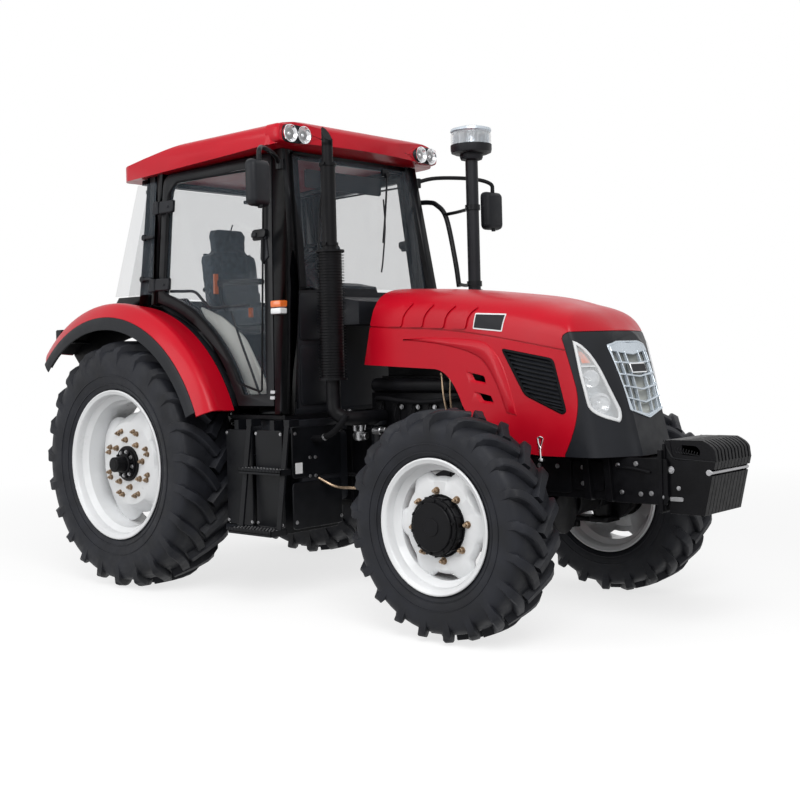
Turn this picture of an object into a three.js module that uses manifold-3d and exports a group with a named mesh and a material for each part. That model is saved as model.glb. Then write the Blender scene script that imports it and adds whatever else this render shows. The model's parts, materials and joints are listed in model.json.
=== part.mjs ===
// Farm tractor with a four-post glass cab, four-wheel drive and a rear three-point linkage.
// Millimetres. +X forward, +Y to the driver's left, +Z up.
// Lengths along X are counted from the front axle while modelling; the finished group is then moved so
// that its origin is on the ground under the middle of its overall length.

import * as THREE from "three";
import { mergeVertices } from "three/addons/utils/BufferGeometryUtils.js";
import Module from "manifold-3d";

const wasm = await Module();
wasm.setup();

// ---------------------------------------------------------------- driving dimensions

const WHEELBASE = 2481;
const GAP = 0.3; // between two pieces that touch
const CLEARANCE = 6; // between two pieces that move past each other

// Wheels. A tyre stands on a flat of its polygon, so its radius is also its hub's height.
const ROUND = 28; // sides of a wheel
const FRONT_WHEEL = {
  radius: 558,
  tyreWidth: 315,
  trackHalf: 760,
  rimWidth: 290,
  beadRadius: 305,
  flangeRadius: 330,
  discOffset: 78, // the disc's flat centre, outboard of the wheel's middle plane
  discFlat: 215, // radius of that flat centre
  discEdge: 44, // where the disc's cone meets the barrel, outboard of the middle plane
  hubRadius: 140,
  hubFace: 152, // hub drum's outer face, outboard of the middle plane
  stubRadius: 0,
  stubFace: 0,
  hubBack: -25, // hub's inner face
};
const REAR_WHEEL = {
  radius: 755,
  tyreWidth: 430,
  trackHalf: 764,
  rimWidth: 390,
  beadRadius: 432,
  flangeRadius: 457,
  discOffset: 86,
  discFlat: 250,
  discEdge: -5,
  hubRadius: 105,
  hubFace: 112,
  stubRadius: 46,
  stubFace: 200,
  hubBack: -108,
};
const RIM_WALL = 12;
const FLANGE_THICK = 12;
const DISC_THICK = 16;
const HUB_FLANGE = 25; // the hub's inner part is this much larger in radius

// Steering
const KINGPIN_HALF = 600; // kingpin's distance from the middle
const KINGPIN_RADIUS = 52;
const KINGPIN_HALF_HEIGHT = 118;
const AXLE_BEAM = { depth: 130, height: 150 };
const STEER_ARM = 165; // kingpin to tie rod, behind the axle
const TIE_ROD_RADIUS = 17;

// Hood
const HOOD_WALL = 14;
const HOOD_HALF = 352;
const HOOD_REAR_TOP = -835;
const HOOD_REAR_LOW = -932;
const NOSE_BOTTOM = 862;

// Chassis
const FRAME_HALF = 195;
const ENGINE = { front: -250, rear: -1000, half: 225, bottom: 560, top: 1170 };
const GEARBOX = { half: 170, bottom: 500, top: 900 };
const REAR_HOUSING = {
  front: 231 - WHEELBASE,
  rear: -219 - WHEELBASE,
  half: 225,
  bottom: 500,
  top: 985,
};
const TRUMPET_RADIUS = 112;
const WEIGHTS = { back: 865, front: 1104, top: 948, bottom: 600, half: 187, rake: 62 };

// Cab. Its sides lean in towards the roof and spread towards the rear.
const SIDE_HALF = 701.8; // half-width of the side's plane at the front axle, on the ground
const SIDE_SPREAD = -0.075; // per millimetre along X
const SIDE_LEAN = -0.0862; // per millimetre up
const FLOOR_TOP = 1090;
const FLOOR_THICK = 30;
const CAB_EAVE = 2548; // top of the cab's frame halfway along it
const EAVE_RAKE = { slope: 0.036, middle: -1990 }; // the cab's top rises towards the front
const DOOR_THICK = 34;
const DOOR_FRAME = 62;
const GLASS = 8;
const DOOR_GAP = 8;
const WINDSHIELD = {
  bottom: 1775,
  bottomX: -1216,
  topX: -1328,
  bulge: 60,
  half: 570, // half-width at the bottom
  sideLean: -0.08412, // per millimetre up
};
const FIREWALL_X = -1236;
const REAR_WALL_X = -254 - WHEELBASE;
const SILL_Z = 1790; // sill of the rear and quarter windows

// Fenders and wheel arches, as arcs about a centre behind the rear axle
const ARCH_ROOM = 249; // between the rear tyre's radius and the arch's
const ARC = { x: -79 - WHEELBASE, z: 715, inner: REAR_WHEEL.radius + ARCH_ROOM, from: 22, to: 134 };
// Each fender's edges: radius about the arc's centre and distance from the tractor's middle
const FENDER = {
  inner: { r: ARC.inner + 8, y: 726 },
  shoulder: { r: ARC.inner + 26, y: 895 },
  seam: { r: ARC.inner - 60, y: 955 },
  lip: { r: ARC.inner - 136, y: 968 },
  skin: 16,
};
const ARCH_INNER = 522; // inboard wall of the wheel arch inside the cab

const LINK_END = { x: -919 - WHEELBASE, z: 560, y: 385 };
const LINK_PIVOT = { x: -129 - WHEELBASE, z: 430, y: 262 };
const LIFT_PIVOT = { x: -159 - WHEELBASE, z: 1060 };
const LIFT_ARM = { length: 330, half: 330, rise: 12, thick: 34 };
const DRAWBAR = {
  rear: -599 - WHEELBASE,
  front: 181 - WHEELBASE,
  hanger: { rear: -199 - WHEELBASE, front: -119 - WHEELBASE, half: 110 },
  half: 42,
  top: 452,
  thick: 32,
};

const EXHAUST = {
  x: -985,
  y: 550,
  muffler: 77, // radii, then heights
  pipe: 41,
  tip: 31,
  low: 1250,
  mid: 1968,
  high: 2450,
  top: 2698,
};
const INTAKE = {
  x: -800,
  y: 500,
  stem: 38,
  bowl: 125,
  low: 1250,
  bowlLow: 2585,
  bowlHigh: 2625,
  top: 2752,
};
const MIRROR = { x: -1032, y: 1012, z: 2303, wide: 158, tall: 248, deep: 54 };

// ---------------------------------------------------------------- materials

function paint(color, roughness, metalness) {
  return new THREE.MeshStandardMaterial({ color, roughness, metalness });
}
const RED = paint(0xb0101c, 0.3, 0.1);
const BLACK = paint(0x1b1c1e, 0.6, 0.1);
const CAST = paint(0x17181a, 0.65, 0.4);
const WHITE = paint(0xe6e8ea, 0.35, 0.1);
const TYRE = paint(0x22252a, 0.85, 0);
const PANE = new THREE.MeshStandardMaterial({
  color: 0xcfe0e6,
  roughness: 0.05,
  transparent: true,
  opacity: 0.3,
});
const SILVER = paint(0xa9b2bd, 0.3, 0.7);
const CLOTH = paint(0x3a444c, 0.9, 0);
const TRIM = paint(0x2a2c2f, 0.8, 0);

// ---------------------------------------------------------------- shape helpers

const AXES = {
  x: new THREE.Matrix4().makeBasis(
    new THREE.Vector3(0, 1, 0),
    new THREE.Vector3(0, 0, 1),
    new THREE.Vector3(1, 0, 0),
  ),
  y: new THREE.Matrix4().makeBasis(
    new THREE.Vector3(1, 0, 0),
    new THREE.Vector3(0, 0, 1),
    new THREE.Vector3(0, -1, 0),
  ),
  z: new THREE.Matrix4(),
};

// An outline extruded along an axis from low to high.
// The outline's points are (y, z) for axis x, (x, z) for axis y and (x, y) for axis z.
function prism(axis, outline, low, high, steps = 1) {
  const shape = outline instanceof THREE.Shape ? outline : new THREE.Shape(points2(outline));
  const geometry = new THREE.ExtrudeGeometry(shape, {
    depth: high - low,
    steps,
    bevelEnabled: false,
    curveSegments: 6,
  });
  geometry.applyMatrix4(AXES[axis]);
  const start = axis === "y" ? high : low;
  return geometry.translate(
    axis === "x" ? start : 0,
    axis === "y" ? start : 0,
    axis === "z" ? start : 0,
  );
}

function points2(list) {
  return list.map(([a, b]) => new THREE.Vector2(a, b));
}

function box(x0, x1, y0, y1, z0, z1) {
  const geometry = new THREE.BoxGeometry(x1 - x0, y1 - y0, z1 - z0);
  return geometry.translate((x0 + x1) / 2, (y0 + y1) / 2, (z0 + z1) / 2);
}

// A rectangle with rounded corners, as a list of points
function roundedRect(x0, x1, y0, y1, r) {
  const corners = [
    [x1 - r, y0 + r],
    [x1 - r, y1 - r],
    [x0 + r, y1 - r],
    [x0 + r, y0 + r],
  ];
  return corners.flatMap(([x, y], corner) =>
    [0, 1, 2, 3].map((step) => {
      const angle = ((corner - 1 + step / 3) * Math.PI) / 2;
      return [x + r * Math.cos(angle), y + r * Math.sin(angle)];
    }),
  );
}

// A solid of revolution about Y from closed (radius, y) points, its polygon flat underneath.
// Its flats, and not its corners, are at the stated radii.
function turned(profile, sides) {
  const flat = 1 / Math.cos(Math.PI / sides);
  const points = profile.map(([r, y]) => new THREE.Vector2(r * flat, y));
  const geometry = new THREE.LatheGeometry(points, sides, Math.PI / sides);
  return outward(geometry);
}

// A round bar or drum along an axis
function rod(axis, radius, low, high, a, b, sides = 20) {
  const geometry = new THREE.CylinderGeometry(radius, radius, high - low, sides);
  const middle = (low + high) / 2;
  if (axis === "x") return geometry.rotateZ(Math.PI / 2).translate(middle, a, b);
  if (axis === "y") return geometry.translate(a, middle, b);
  return geometry.rotateX(Math.PI / 2).translate(a, b, middle);
}

// A tube along straight or curved points
function tube(points, radius, sides = 8, steps = 16) {
  const path = new THREE.CatmullRomCurve3(
    points.map((p) => new THREE.Vector3(...p)),
    false,
    "centripetal",
  );
  const ring = [];
  for (let i = 0; i < sides; i += 1) {
    const angle = (2 * Math.PI * i) / sides;
    ring.push(new THREE.Vector2(radius * Math.cos(angle), radius * Math.sin(angle)));
  }
  return new THREE.ExtrudeGeometry(new THREE.Shape(ring), {
    steps,
    extrudePath: path,
    bevelEnabled: false,
  });
}

function moved(geometry, change) {
  const p = geometry.getAttribute("position");
  const v = new THREE.Vector3();
  for (let i = 0; i < p.count; i += 1) {
    v.fromBufferAttribute(p, i);
    change(v);
    p.setXYZ(i, v.x, v.y, v.z);
  }
  return geometry;
}

// ---------------------------------------------------------------- solids

function solid(geometry) {
  const flat = geometry.index ? geometry.toNonIndexed() : geometry;
  const bare = new THREE.BufferGeometry().setAttribute("position", flat.getAttribute("position"));
  const merged = mergeVertices(bare, 1e-3);
  return new wasm.Manifold(
    new wasm.Mesh({
      numProp: 3,
      vertProperties: merged.getAttribute("position").array,
      triVerts: new Uint32Array(merged.index.array),
    }),
  );
}

function geometryOf(made) {
  const mesh = made.getMesh();
  const geometry = new THREE.BufferGeometry();
  geometry.setAttribute("position", new THREE.BufferAttribute(mesh.vertProperties, 3));
  geometry.setIndex(new THREE.BufferAttribute(mesh.triVerts, 1));
  return geometry;
}

function reversed(geometry) {
  const flat = geometry.index ? geometry.toNonIndexed() : geometry;
  const p = flat.getAttribute("position").array;
  for (let i = 0; i < p.length; i += 9) {
    for (let k = 0; k < 3; k += 1) {
      [p[i + 3 + k], p[i + 6 + k]] = [p[i + 6 + k], p[i + 3 + k]];
    }
  }
  return new THREE.BufferGeometry().setAttribute("position", new THREE.BufferAttribute(p, 3));
}

function outward(geometry) {
  return solid(geometry).volume() < 0 ? reversed(geometry) : geometry;
}

function join(...pieces) {
  return geometryOf(pieces.map(solid).reduce((a, b) => a.add(b)));
}

function cut(body, ...tools) {
  return geometryOf(tools.map(solid).reduce((a, b) => a.subtract(b), solid(body)));
}

function common(...pieces) {
  return geometryOf(pieces.map(solid).reduce((a, b) => a.intersect(b)));
}

// The same geometry on the other side of the tractor
function mirrored(geometry) {
  return reversed(geometry.clone().scale(1, -1, 1));
}

const tractor = new THREE.Group();

function add(name, geometry, material) {
  const mesh = new THREE.Mesh(geometry, material);
  mesh.name = name;
  tractor.add(mesh);
}

// A left piece and its mirror image on the right
function addPair(name, geometry, material) {
  add(`${name}_left`, geometry, material);
  add(`${name}_right`, mirrored(geometry), material);
}

// ---------------------------------------------------------------- wheels

function tyreProfile(w) {
  const r = w.radius;
  const half = w.tyreWidth / 2;
  const bead = w.rimWidth / 2 - FLANGE_THICK - GAP;
  const low = w.beadRadius + GAP;
  const height = r - w.flangeRadius;
  const side = [
    [low, bead],
    [w.flangeRadius + 2, bead],
    [w.flangeRadius + 0.35 * height, half],
    [w.flangeRadius + 0.72 * height, half * 0.99],
    [r - 0.16 * height, half * 0.93],
    [r - 0.04 * height, half * 0.74],
    [r, half * 0.42],
  ];
  const other = side.map(([a, b]) => [a, -b]).reverse();
  return [...side, ...other, side[0]];
}

function rimProfile(w) {
  const half = w.rimWidth / 2;
  const inner = w.beadRadius - RIM_WALL;
  const disc = w.discOffset;
  const back = disc - DISC_THICK;
  const stub = [
    [0, w.stubFace],
    [w.stubRadius, w.stubFace],
    [w.stubRadius, w.hubFace],
  ];
  const face = w.stubRadius > 0 ? stub : [[0, w.hubFace]];
  return [
    ...face,
    [w.hubRadius, w.hubFace],
    [w.hubRadius, disc],
    [w.discFlat, disc],
    [inner, w.discEdge],
    [inner, half - FLANGE_THICK],
    [w.flangeRadius - FLANGE_THICK, half],
    [w.flangeRadius, half],
    [w.flangeRadius, half - FLANGE_THICK],
    [w.beadRadius, half - FLANGE_THICK],
    [w.beadRadius, -half + FLANGE_THICK],
    [w.flangeRadius, -half + FLANGE_THICK],
    [w.flangeRadius, -half],
    [w.flangeRadius - FLANGE_THICK, -half],
    [inner, -half + FLANGE_THICK],
    [inner, w.discEdge - DISC_THICK],
    [w.discFlat, back],
    [w.hubRadius + HUB_FLANGE, back],
    [w.hubRadius + HUB_FLANGE, w.hubBack],
    [0, w.hubBack],
  ];
}

function addWheel(name, w, x) {
  const place = (g) => g.translate(x, w.trackHalf, w.radius);
  addPair(`${name}_tyre`, place(turned(tyreProfile(w), ROUND)), TYRE);
  addPair(`${name}_rim`, place(turned(rimProfile(w), ROUND)), WHITE);
}

addWheel("front", FRONT_WHEEL, 0);
addWheel("rear", REAR_WHEEL, -WHEELBASE);

// ---------------------------------------------------------------- front axle and steering

const AXLE_Z = FRONT_WHEEL.radius;
const FRAME_BOTTOM = AXLE_Z + AXLE_BEAM.height / 2 + 12;

function axleBeam() {
  const half = AXLE_BEAM.depth / 2;
  const up = AXLE_BEAM.height / 2;
  const tip = KINGPIN_HALF - 10;
  const outline = [
    [-tip, AXLE_Z - 0.62 * up],
    [-200, AXLE_Z - up],
    [200, AXLE_Z - up],
    [tip, AXLE_Z - 0.62 * up],
    [tip, AXLE_Z + 0.62 * up],
    [200, AXLE_Z + up],
    [-200, AXLE_Z + up],
    [-tip, AXLE_Z + 0.62 * up],
  ];
  const bosses = [-KINGPIN_HALF, KINGPIN_HALF].map((y) =>
    rod("z", KINGPIN_RADIUS, AXLE_Z - KINGPIN_HALF_HEIGHT, AXLE_Z + KINGPIN_HALF_HEIGHT, 0, y),
  );
  const differential = rod("x", 108, -230, 150, 0, AXLE_Z - 26, 24);
  return join(prism("x", outline, -half, half), differential, ...bosses);
}
add("front_axle_beam", axleBeam(), CAST);

// The left knuckle: yoke plates over and under the kingpin, the wheel's spindle drum and a steering arm
function knuckle() {
  const plateLow = KINGPIN_HALF_HEIGHT + CLEARANCE;
  const plateHigh = plateLow + 28;
  const back = KINGPIN_HALF + KINGPIN_RADIUS + 12;
  const front = FRONT_WHEEL.trackHalf + FRONT_WHEEL.hubBack - CLEARANCE;
  const plate = (z0, z1) =>
    prism("z", roundedRect(-62, 62, KINGPIN_HALF - 62, back + 40, 30), AXLE_Z + z0, AXLE_Z + z1);
  const drum = rod("y", plateHigh, back, front, 0, AXLE_Z, 24);
  const armZ = AXLE_Z - plateHigh;
  const arm = prism(
    "z",
    [
      [-STEER_ARM - 28, KINGPIN_HALF - 55],
      [-STEER_ARM + 28, KINGPIN_HALF - 55],
      [40, KINGPIN_HALF - 40],
      [40, KINGPIN_HALF + 60],
      [-60, KINGPIN_HALF + 60],
      [-STEER_ARM - 28, KINGPIN_HALF + 5],
    ],
    armZ,
    armZ + 28,
  );
  return join(plate(plateLow, plateHigh), plate(-plateHigh, -plateLow), drum, arm);
}
addPair("knuckle", knuckle(), CAST);

function tieRod() {
  const half = KINGPIN_HALF - 25;
  const z = AXLE_Z - KINGPIN_HALF_HEIGHT - CLEARANCE - 28 - CLEARANCE - TIE_ROD_RADIUS;
  const eyes = [-half, half].map((y) => rod("z", 26, z - 15, z + TIE_ROD_RADIUS, -STEER_ARM, y, 16));
  return join(rod("y", TIE_ROD_RADIUS, -half, half, -STEER_ARM, z, 12), ...eyes);
}
add("tie_rod", tieRod(), CAST);

// ---------------------------------------------------------------- frame, engine and driveline

function frontFrame() {
  const top = 850;
  const rails = prism(
    "y",
    [
      [ENGINE.front + GAP, FRAME_BOTTOM],
      [560, FRAME_BOTTOM],
      [560, top],
      [ENGINE.front + GAP, top],
    ],
    -FRAME_HALF,
    FRAME_HALF,
  );
  const carrier = prism(
    "y",
    [
      [555, 700],
      [WEIGHTS.back - GAP, 690],
      [WEIGHTS.back - GAP, 835],
      [700, 850],
      [555, 850],
    ],
    -150,
    150,
  );
  return join(rails, carrier);
}
add("front_frame", frontFrame(), CAST);

function frontWeights() {
  const w = WEIGHTS;
  return prism(
    "y",
    [
      [w.back, w.bottom + 90],
      [w.back + 45, w.bottom],
      [w.front - w.rake, w.bottom],
      [w.front, 850],
      [w.front - 30, 900],
      [w.front - 80, w.top - 13],
      [w.back - 25, w.top],
      [w.back - 25, w.top - 75],
      [w.back, w.top - 75],
    ],
    -w.half,
    w.half,
  );
}
add("front_weights", frontWeights(), CAST);

add(
  "engine_block",
  box(ENGINE.rear + GAP, ENGINE.front, -ENGINE.half, ENGINE.half, ENGINE.bottom, ENGINE.top),
  CAST,
);
add("radiator", box(-40, 90, -270, 270, 850 + GAP, 1400), BLACK);

function transmissionCase() {
  const g = GEARBOX;
  return join(
    box(REAR_HOUSING.front + GAP, ENGINE.rear, -g.half, g.half, g.bottom, g.top),
    box(-1340, ENGINE.rear, -ENGINE.half, ENGINE.half, g.bottom + 40, 960),
  );
}
add("transmission_case", transmissionCase(), CAST);

function rearAxle() {
  const h = REAR_HOUSING;
  const end = REAR_WHEEL.trackHalf + REAR_WHEEL.hubBack - CLEARANCE;
  const z = REAR_WHEEL.radius;
  const flanges = [-1, 1].map((s) =>
    rod("y", 150, Math.min(s * end, s * (end - 40)), Math.max(s * end, s * (end - 40)), -WHEELBASE, z, 24),
  );
  return join(
    box(h.rear, h.front, -h.half, h.half, h.bottom, h.top),
    rod("y", TRUMPET_RADIUS, -end, end, -WHEELBASE, z, 24),
    rod("x", 30, h.rear - 90, h.rear + 10, 0, 640),
    ...flanges,
  );
}
add("rear_axle", rearAxle(), CAST);

// ---------------------------------------------------------------- hood

const TOP_LINE = new THREE.SplineCurve(
  points2([
    [-940, 1762],
    [-673, 1749],
    [-387, 1729],
    [-31, 1687],
    [160, 1658],
    [316, 1626],
    [490, 1592],
    [586, 1550],
    [645, 1480],
  ]),
);

// Height of a curve that runs along X
function heightAt(curve, x) {
  let low = 0;
  let high = 1;
  for (let i = 0; i < 40; i += 1) {
    const t = (low + high) / 2;
    if (curve.getPoint(t).x < x) low = t;
    else high = t;
  }
  return curve.getPoint(low).y;
}

// Half-width of the hood back from its tip: a flat front, a slanting corner and straight sides
const NOSE = { tip: 645, leanFrom: 20, upright: 1100, foot: -0.25, lean: -0.17, curl: -0.00047 };
const CORNER = new THREE.SplineCurve(
  points2([
    [-300, 352],
    [-180, 352],
    [-125, 338],
    [-78, 270],
    [-34, 190],
    [-10, 158],
    [0, 142],
  ]),
);
function hoodHalf(x, half) {
  const back = THREE.MathUtils.clamp(x - NOSE.tip, -300, 0);
  return heightAt(CORNER, back) * (half / HOOD_HALF);
}

// The nose leans back as it rises, more and more above its upright height
function noseLean(x, z) {
  const t = THREE.MathUtils.clamp((x - NOSE.leanFrom) / (NOSE.tip - NOSE.leanFrom), 0, 1);
  const d = z - NOSE.upright;
  return t * t * (d < 0 ? NOSE.foot * d : NOSE.lean * d + NOSE.curl * d * d);
}

// Solid hood shape, smaller by inset all round
function hoodSolid(inset) {
  const half = HOOD_HALF - inset;
  const stations = 14;
  const rear = -1100;
  const outline = [
    [-1, 0],
    [1, 0],
    [1, 0.8],
    [0.955, 0.9],
    [0.8, 0.955],
    [0, 1],
    [-0.8, 0.955],
    [-0.955, 0.9],
    [-1, 0.8],
  ];
  const geometry = prism("x", outline, 0, 1, stations);
  return moved(geometry, (v) => {
    // Stations crowd towards the nose, where the shape turns fastest
    const t = 1 - (1 - v.x) ** 2.6;
    const x = rear + (NOSE.tip - inset - rear) * t;
    const top = heightAt(TOP_LINE, Math.min(x, NOSE.tip - 1)) - inset;
    const low = 780;
    v.y *= hoodHalf(x + inset * 0.3, half);
    v.z = low + v.z * (top - low);
    v.x = x + noseLean(x, v.z);
  });
}

// Side view of everything the hood keeps: its lower edge steps up over the front wheel
function hoodKeep() {
  const shape = new THREE.Shape();
  shape.moveTo(HOOD_REAR_LOW, 1329);
  shape.lineTo(-420, 1300);
  shape.quadraticCurveTo(-310, 1290, -236, 1108);
  shape.quadraticCurveTo(-120, 900, 246, NOSE_BOTTOM);
  shape.lineTo(900, NOSE_BOTTOM);
  shape.lineTo(900, 1800);
  shape.lineTo(HOOD_REAR_TOP, 1800);
  shape.lineTo(HOOD_REAR_TOP - 20, 1660);
  return prism("y", shape, -500, 500);
}

// Side view of the black nose, ahead of a curved seam
function fasciaRegion(grow) {
  const shape = new THREE.Shape();
  shape.moveTo(394 - grow, 700);
  shape.lineTo(394 - grow, 872);
  shape.quadraticCurveTo(500 - grow, 1060, 466 - grow, 1200);
  shape.quadraticCurveTo(430 - grow, 1330, 392 - grow, 1436 + grow);
  shape.quadraticCurveTo(392 - grow, 1462 + grow, 430, 1470 + grow);
  shape.lineTo(900, 1484 + grow);
  shape.lineTo(900, 700);
  return prism("y", shape, -500, 500);
}

// The grille's outline in front view, wider at the top, with a shallow V below
function grilleRegion(grow) {
  return prism(
    "x",
    [
      [0, 1036 - grow],
      [150 + grow, 1078 - grow],
      [176 + grow, 1405 + grow],
      [100, 1424 + grow],
      [-100, 1424 + grow],
      [-176 - grow, 1405 + grow],
      [-150 - grow, 1078 - grow],
    ],
    480,
    900,
  );
}

// The left headlight: a tall leaf seen square to the nose's corner
function headlightRegion(grow) {
  const shape = new THREE.Shape();
  const g = grow;
  shape.moveTo(-122 - g, 1428 + g);
  shape.quadraticCurveTo(-30, 1400 + g, 46 + g, 1215 + g);
  shape.lineTo(104 + g, 1092);
  shape.quadraticCurveTo(116 + g, 1040, 92 + g, 1026 - g);
  shape.lineTo(28, 1046 - g);
  shape.quadraticCurveTo(-60 - g, 1075 - g, -68 - g, 1120);
  shape.lineTo(-96 - g, 1254);
  const geometry = prism("y", shape, -260, 120);
  return geometry.rotateZ(-Math.PI / 4).translate(568, 292, 0);
}

// The left louvre panel in the hood's side
const VENT = [
  [30, 1394],
  [335, 1338],
  [404, 1084],
  [385, 1072],
  [165, 1165],
];

function hoodParts() {
  const shell = common(cut(hoodSolid(0), hoodSolid(HOOD_WALL)), hoodKeep());
  const recess = prism("y", VENT, HOOD_HALF - 6, HOOD_HALF + 20);
  const red = cut(shell, fasciaRegion(GAP), recess, mirrored(recess));
  const light = headlightRegion(0);
  const lightHole = headlightRegion(GAP);
  const black = common(shell, fasciaRegion(0));
  const fascia = cut(black, grilleRegion(GAP), lightHole, mirrored(lightHole));
  add("hood_shell", red, RED);
  add("nose_fascia", fascia, BLACK);
  add("grille", common(black, grilleRegion(0)), SILVER);
  addPair("headlight", cut(common(black, light), grilleRegion(GAP)), PANE);
}
hoodParts();

// ---------------------------------------------------------------- cab

// Carries a flat panel drawn on the plane Y = 0 onto the cab's leaning left side
const SIDE_SHEAR = new THREE.Matrix4();
SIDE_SHEAR.elements[1] = SIDE_SPREAD;
SIDE_SHEAR.elements[9] = SIDE_LEAN;
SIDE_SHEAR.elements[13] = SIDE_HALF;

// Tilts the cab's top edge: nothing moves below the sill, and the eave's front rises
function rake(v) {
  const share = THREE.MathUtils.clamp((v.z - SILL_Z) / (CAB_EAVE - SILL_Z), 0, 1);
  v.z += EAVE_RAKE.slope * (v.x - EAVE_RAKE.middle) * share;
}

// A panel of the cab's left side, between two depths inboard of the side's outer face
function sidePanel(shape, outer, inner) {
  return moved(prism("y", shape, -inner, -outer), rake).applyMatrix4(SIDE_SHEAR);
}

const ARCH_THICK = 16;

// The edge that the door and the cab's sill share, over the rear wheel
function archArc(shape, radius, fromDeg, toDeg) {
  const a = THREE.MathUtils.degToRad(fromDeg);
  const b = THREE.MathUtils.degToRad(toDeg);
  shape.absarc(ARC.x, ARC.z, radius, a, b, toDeg < fromDeg);
}

const DOOR_LOW = 1112;
const DOOR_TOP = CAB_EAVE - 12;
const DOOR_FRONT_LOW = -1304;
const DOOR_FRONT_TOP = -1404;
const DOOR_REAR = -2312;
const DOOR_SILL_RADIUS = ARC.inner + 50;

function doorOutline(inset) {
  const shape = new THREE.Shape();
  const r = DOOR_SILL_RADIUS + inset;
  const low = DOOR_LOW + inset;
  const start = THREE.MathUtils.radToDeg(Math.asin((low - ARC.z) / r));
  const end = THREE.MathUtils.radToDeg(Math.acos((DOOR_REAR + inset - ARC.x) / r));
  shape.moveTo(DOOR_FRONT_LOW - inset, low);
  shape.lineTo(DOOR_FRONT_TOP - inset, DOOR_TOP - inset);
  shape.lineTo(DOOR_REAR + inset + 70, DOOR_TOP - inset);
  shape.quadraticCurveTo(DOOR_REAR + inset, DOOR_TOP - inset, DOOR_REAR + inset, DOOR_TOP - inset - 90);
  archArc(shape, r, end, start);
  return shape;
}

// The door's grab handle and latch, on the front upright of its frame
const HANDLE = { rear: -1502, front: -1398, low: 2062, high: 2110, stand: 28 };
function handleOutline(grow) {
  const h = HANDLE;
  return roundedRect(h.rear - grow, h.front + grow, h.low - grow, h.high + grow, 18);
}

function door() {
  const frame = sidePanel(doorOutline(0), 0, DOOR_THICK);
  const window = sidePanel(doorOutline(DOOR_FRAME), -20, DOOR_THICK + 20);
  return join(cut(frame, window), sidePanel(handleOutline(0), -HANDLE.stand, DOOR_THICK - 6));
}

function doorGlass() {
  const pane = sidePanel(doorOutline(DOOR_FRAME + GAP), 10, 10 + GLASS);
  return cut(pane, sidePanel(handleOutline(GAP), -HANDLE.stand, DOOR_THICK));
}
addPair("door", door(), BLACK);
addPair("door_glass", doorGlass(), PANE);

// Posts, sills and roof rails of one side
function sideFrame() {
  const depth = 62;
  const aPost = [
    [-1206, 1066],
    [WINDSHIELD.bottomX + 6, WINDSHIELD.bottom],
    [WINDSHIELD.topX + 6, CAB_EAVE],
    [DOOR_FRONT_TOP + DOOR_GAP, CAB_EAVE],
    [DOOR_FRONT_LOW + DOOR_GAP, DOOR_LOW],
    [DOOR_FRONT_LOW + DOOR_GAP, 1066],
  ];
  const bPost = [
    [DOOR_REAR - DOOR_GAP, CAB_EAVE],
    [DOOR_REAR - DOOR_GAP, SILL_Z - 60],
    [DOOR_REAR - 58, SILL_Z - 60],
    [DOOR_REAR - 58, CAB_EAVE],
  ];
  const cPost = [
    [-2405, CAB_EAVE],
    [-2420, SILL_Z - 60],
    [-2500, SILL_Z - 60],
    [-2475, CAB_EAVE],
  ];
  const rail = [
    [WINDSHIELD.topX, CAB_EAVE - 1],
    [WINDSHIELD.topX + 4, CAB_EAVE - 34],
    [-2560, CAB_EAVE - 34],
    [-2560, CAB_EAVE - 1],
  ];
  const roofRail = sidePanel(rail, DOOR_THICK + DOOR_GAP, DOOR_THICK + DOOR_GAP + 50);
  return [
    sidePanel(aPost, 0, depth),
    sidePanel(bPost, 0, depth),
    sidePanel(cPost, 14, depth),
    roofRail,
    sidePanel(sillShape(), DOOR_THICK + DOOR_GAP, DOOR_THICK + DOOR_GAP + 34),
  ];
}

// The sill under the door: from the A post's foot back over the wheel arch to the rear wall
function sillShape() {
  const shape = new THREE.Shape();
  const low = ARC.inner + 4;
  const high = DOOR_SILL_RADIUS + 22;
  const lowStart = THREE.MathUtils.radToDeg(Math.asin((1066 - ARC.z) / low));
  const highStart = THREE.MathUtils.radToDeg(Math.asin((DOOR_LOW + 22 - ARC.z) / high));
  shape.moveTo(DOOR_FRONT_LOW + DOOR_GAP + 20, 1066);
  shape.lineTo(DOOR_FRONT_LOW + DOOR_GAP + 20, DOOR_LOW + 22);
  archArc(shape, high, highStart, 88);
  shape.lineTo(ARC.x + 40, SILL_Z);
  shape.lineTo(REAR_WALL_X, SILL_Z);
  archArc(shape, low, 104, lowStart);
  return shape;
}

function cabFrame() {
  const left = sideFrame();
  const right = left.map(mirrored);
  const frontRail = box(-1392, -1340, -560, 560, CAB_EAVE - 34, CAB_EAVE - 1);
  const rearRail = box(-2560, -2516, -600, 600, CAB_EAVE - 34, CAB_EAVE - 1);
  return join(...left, ...right, moved(frontRail, rake), moved(rearRail, rake));
}
add("cab_frame", cabFrame(), BLACK);

function arcBand(low, high, from, to, y0, y1) {
  const shape = new THREE.Shape();
  archArc(shape, high, from, to);
  archArc(shape, low, to, from);
  return prism("y", shape, y0, y1);
}

// The opening beside the seat, in the inboard wall of each wheel arch
const LEG_CUTOUT = [
  [-1600, FLOOR_TOP],
  [-1600, 2000],
  [-2240, 2000],
  [-2240, 1690],
  [-1990, 1560],
  [-1800, 1400],
];

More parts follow.
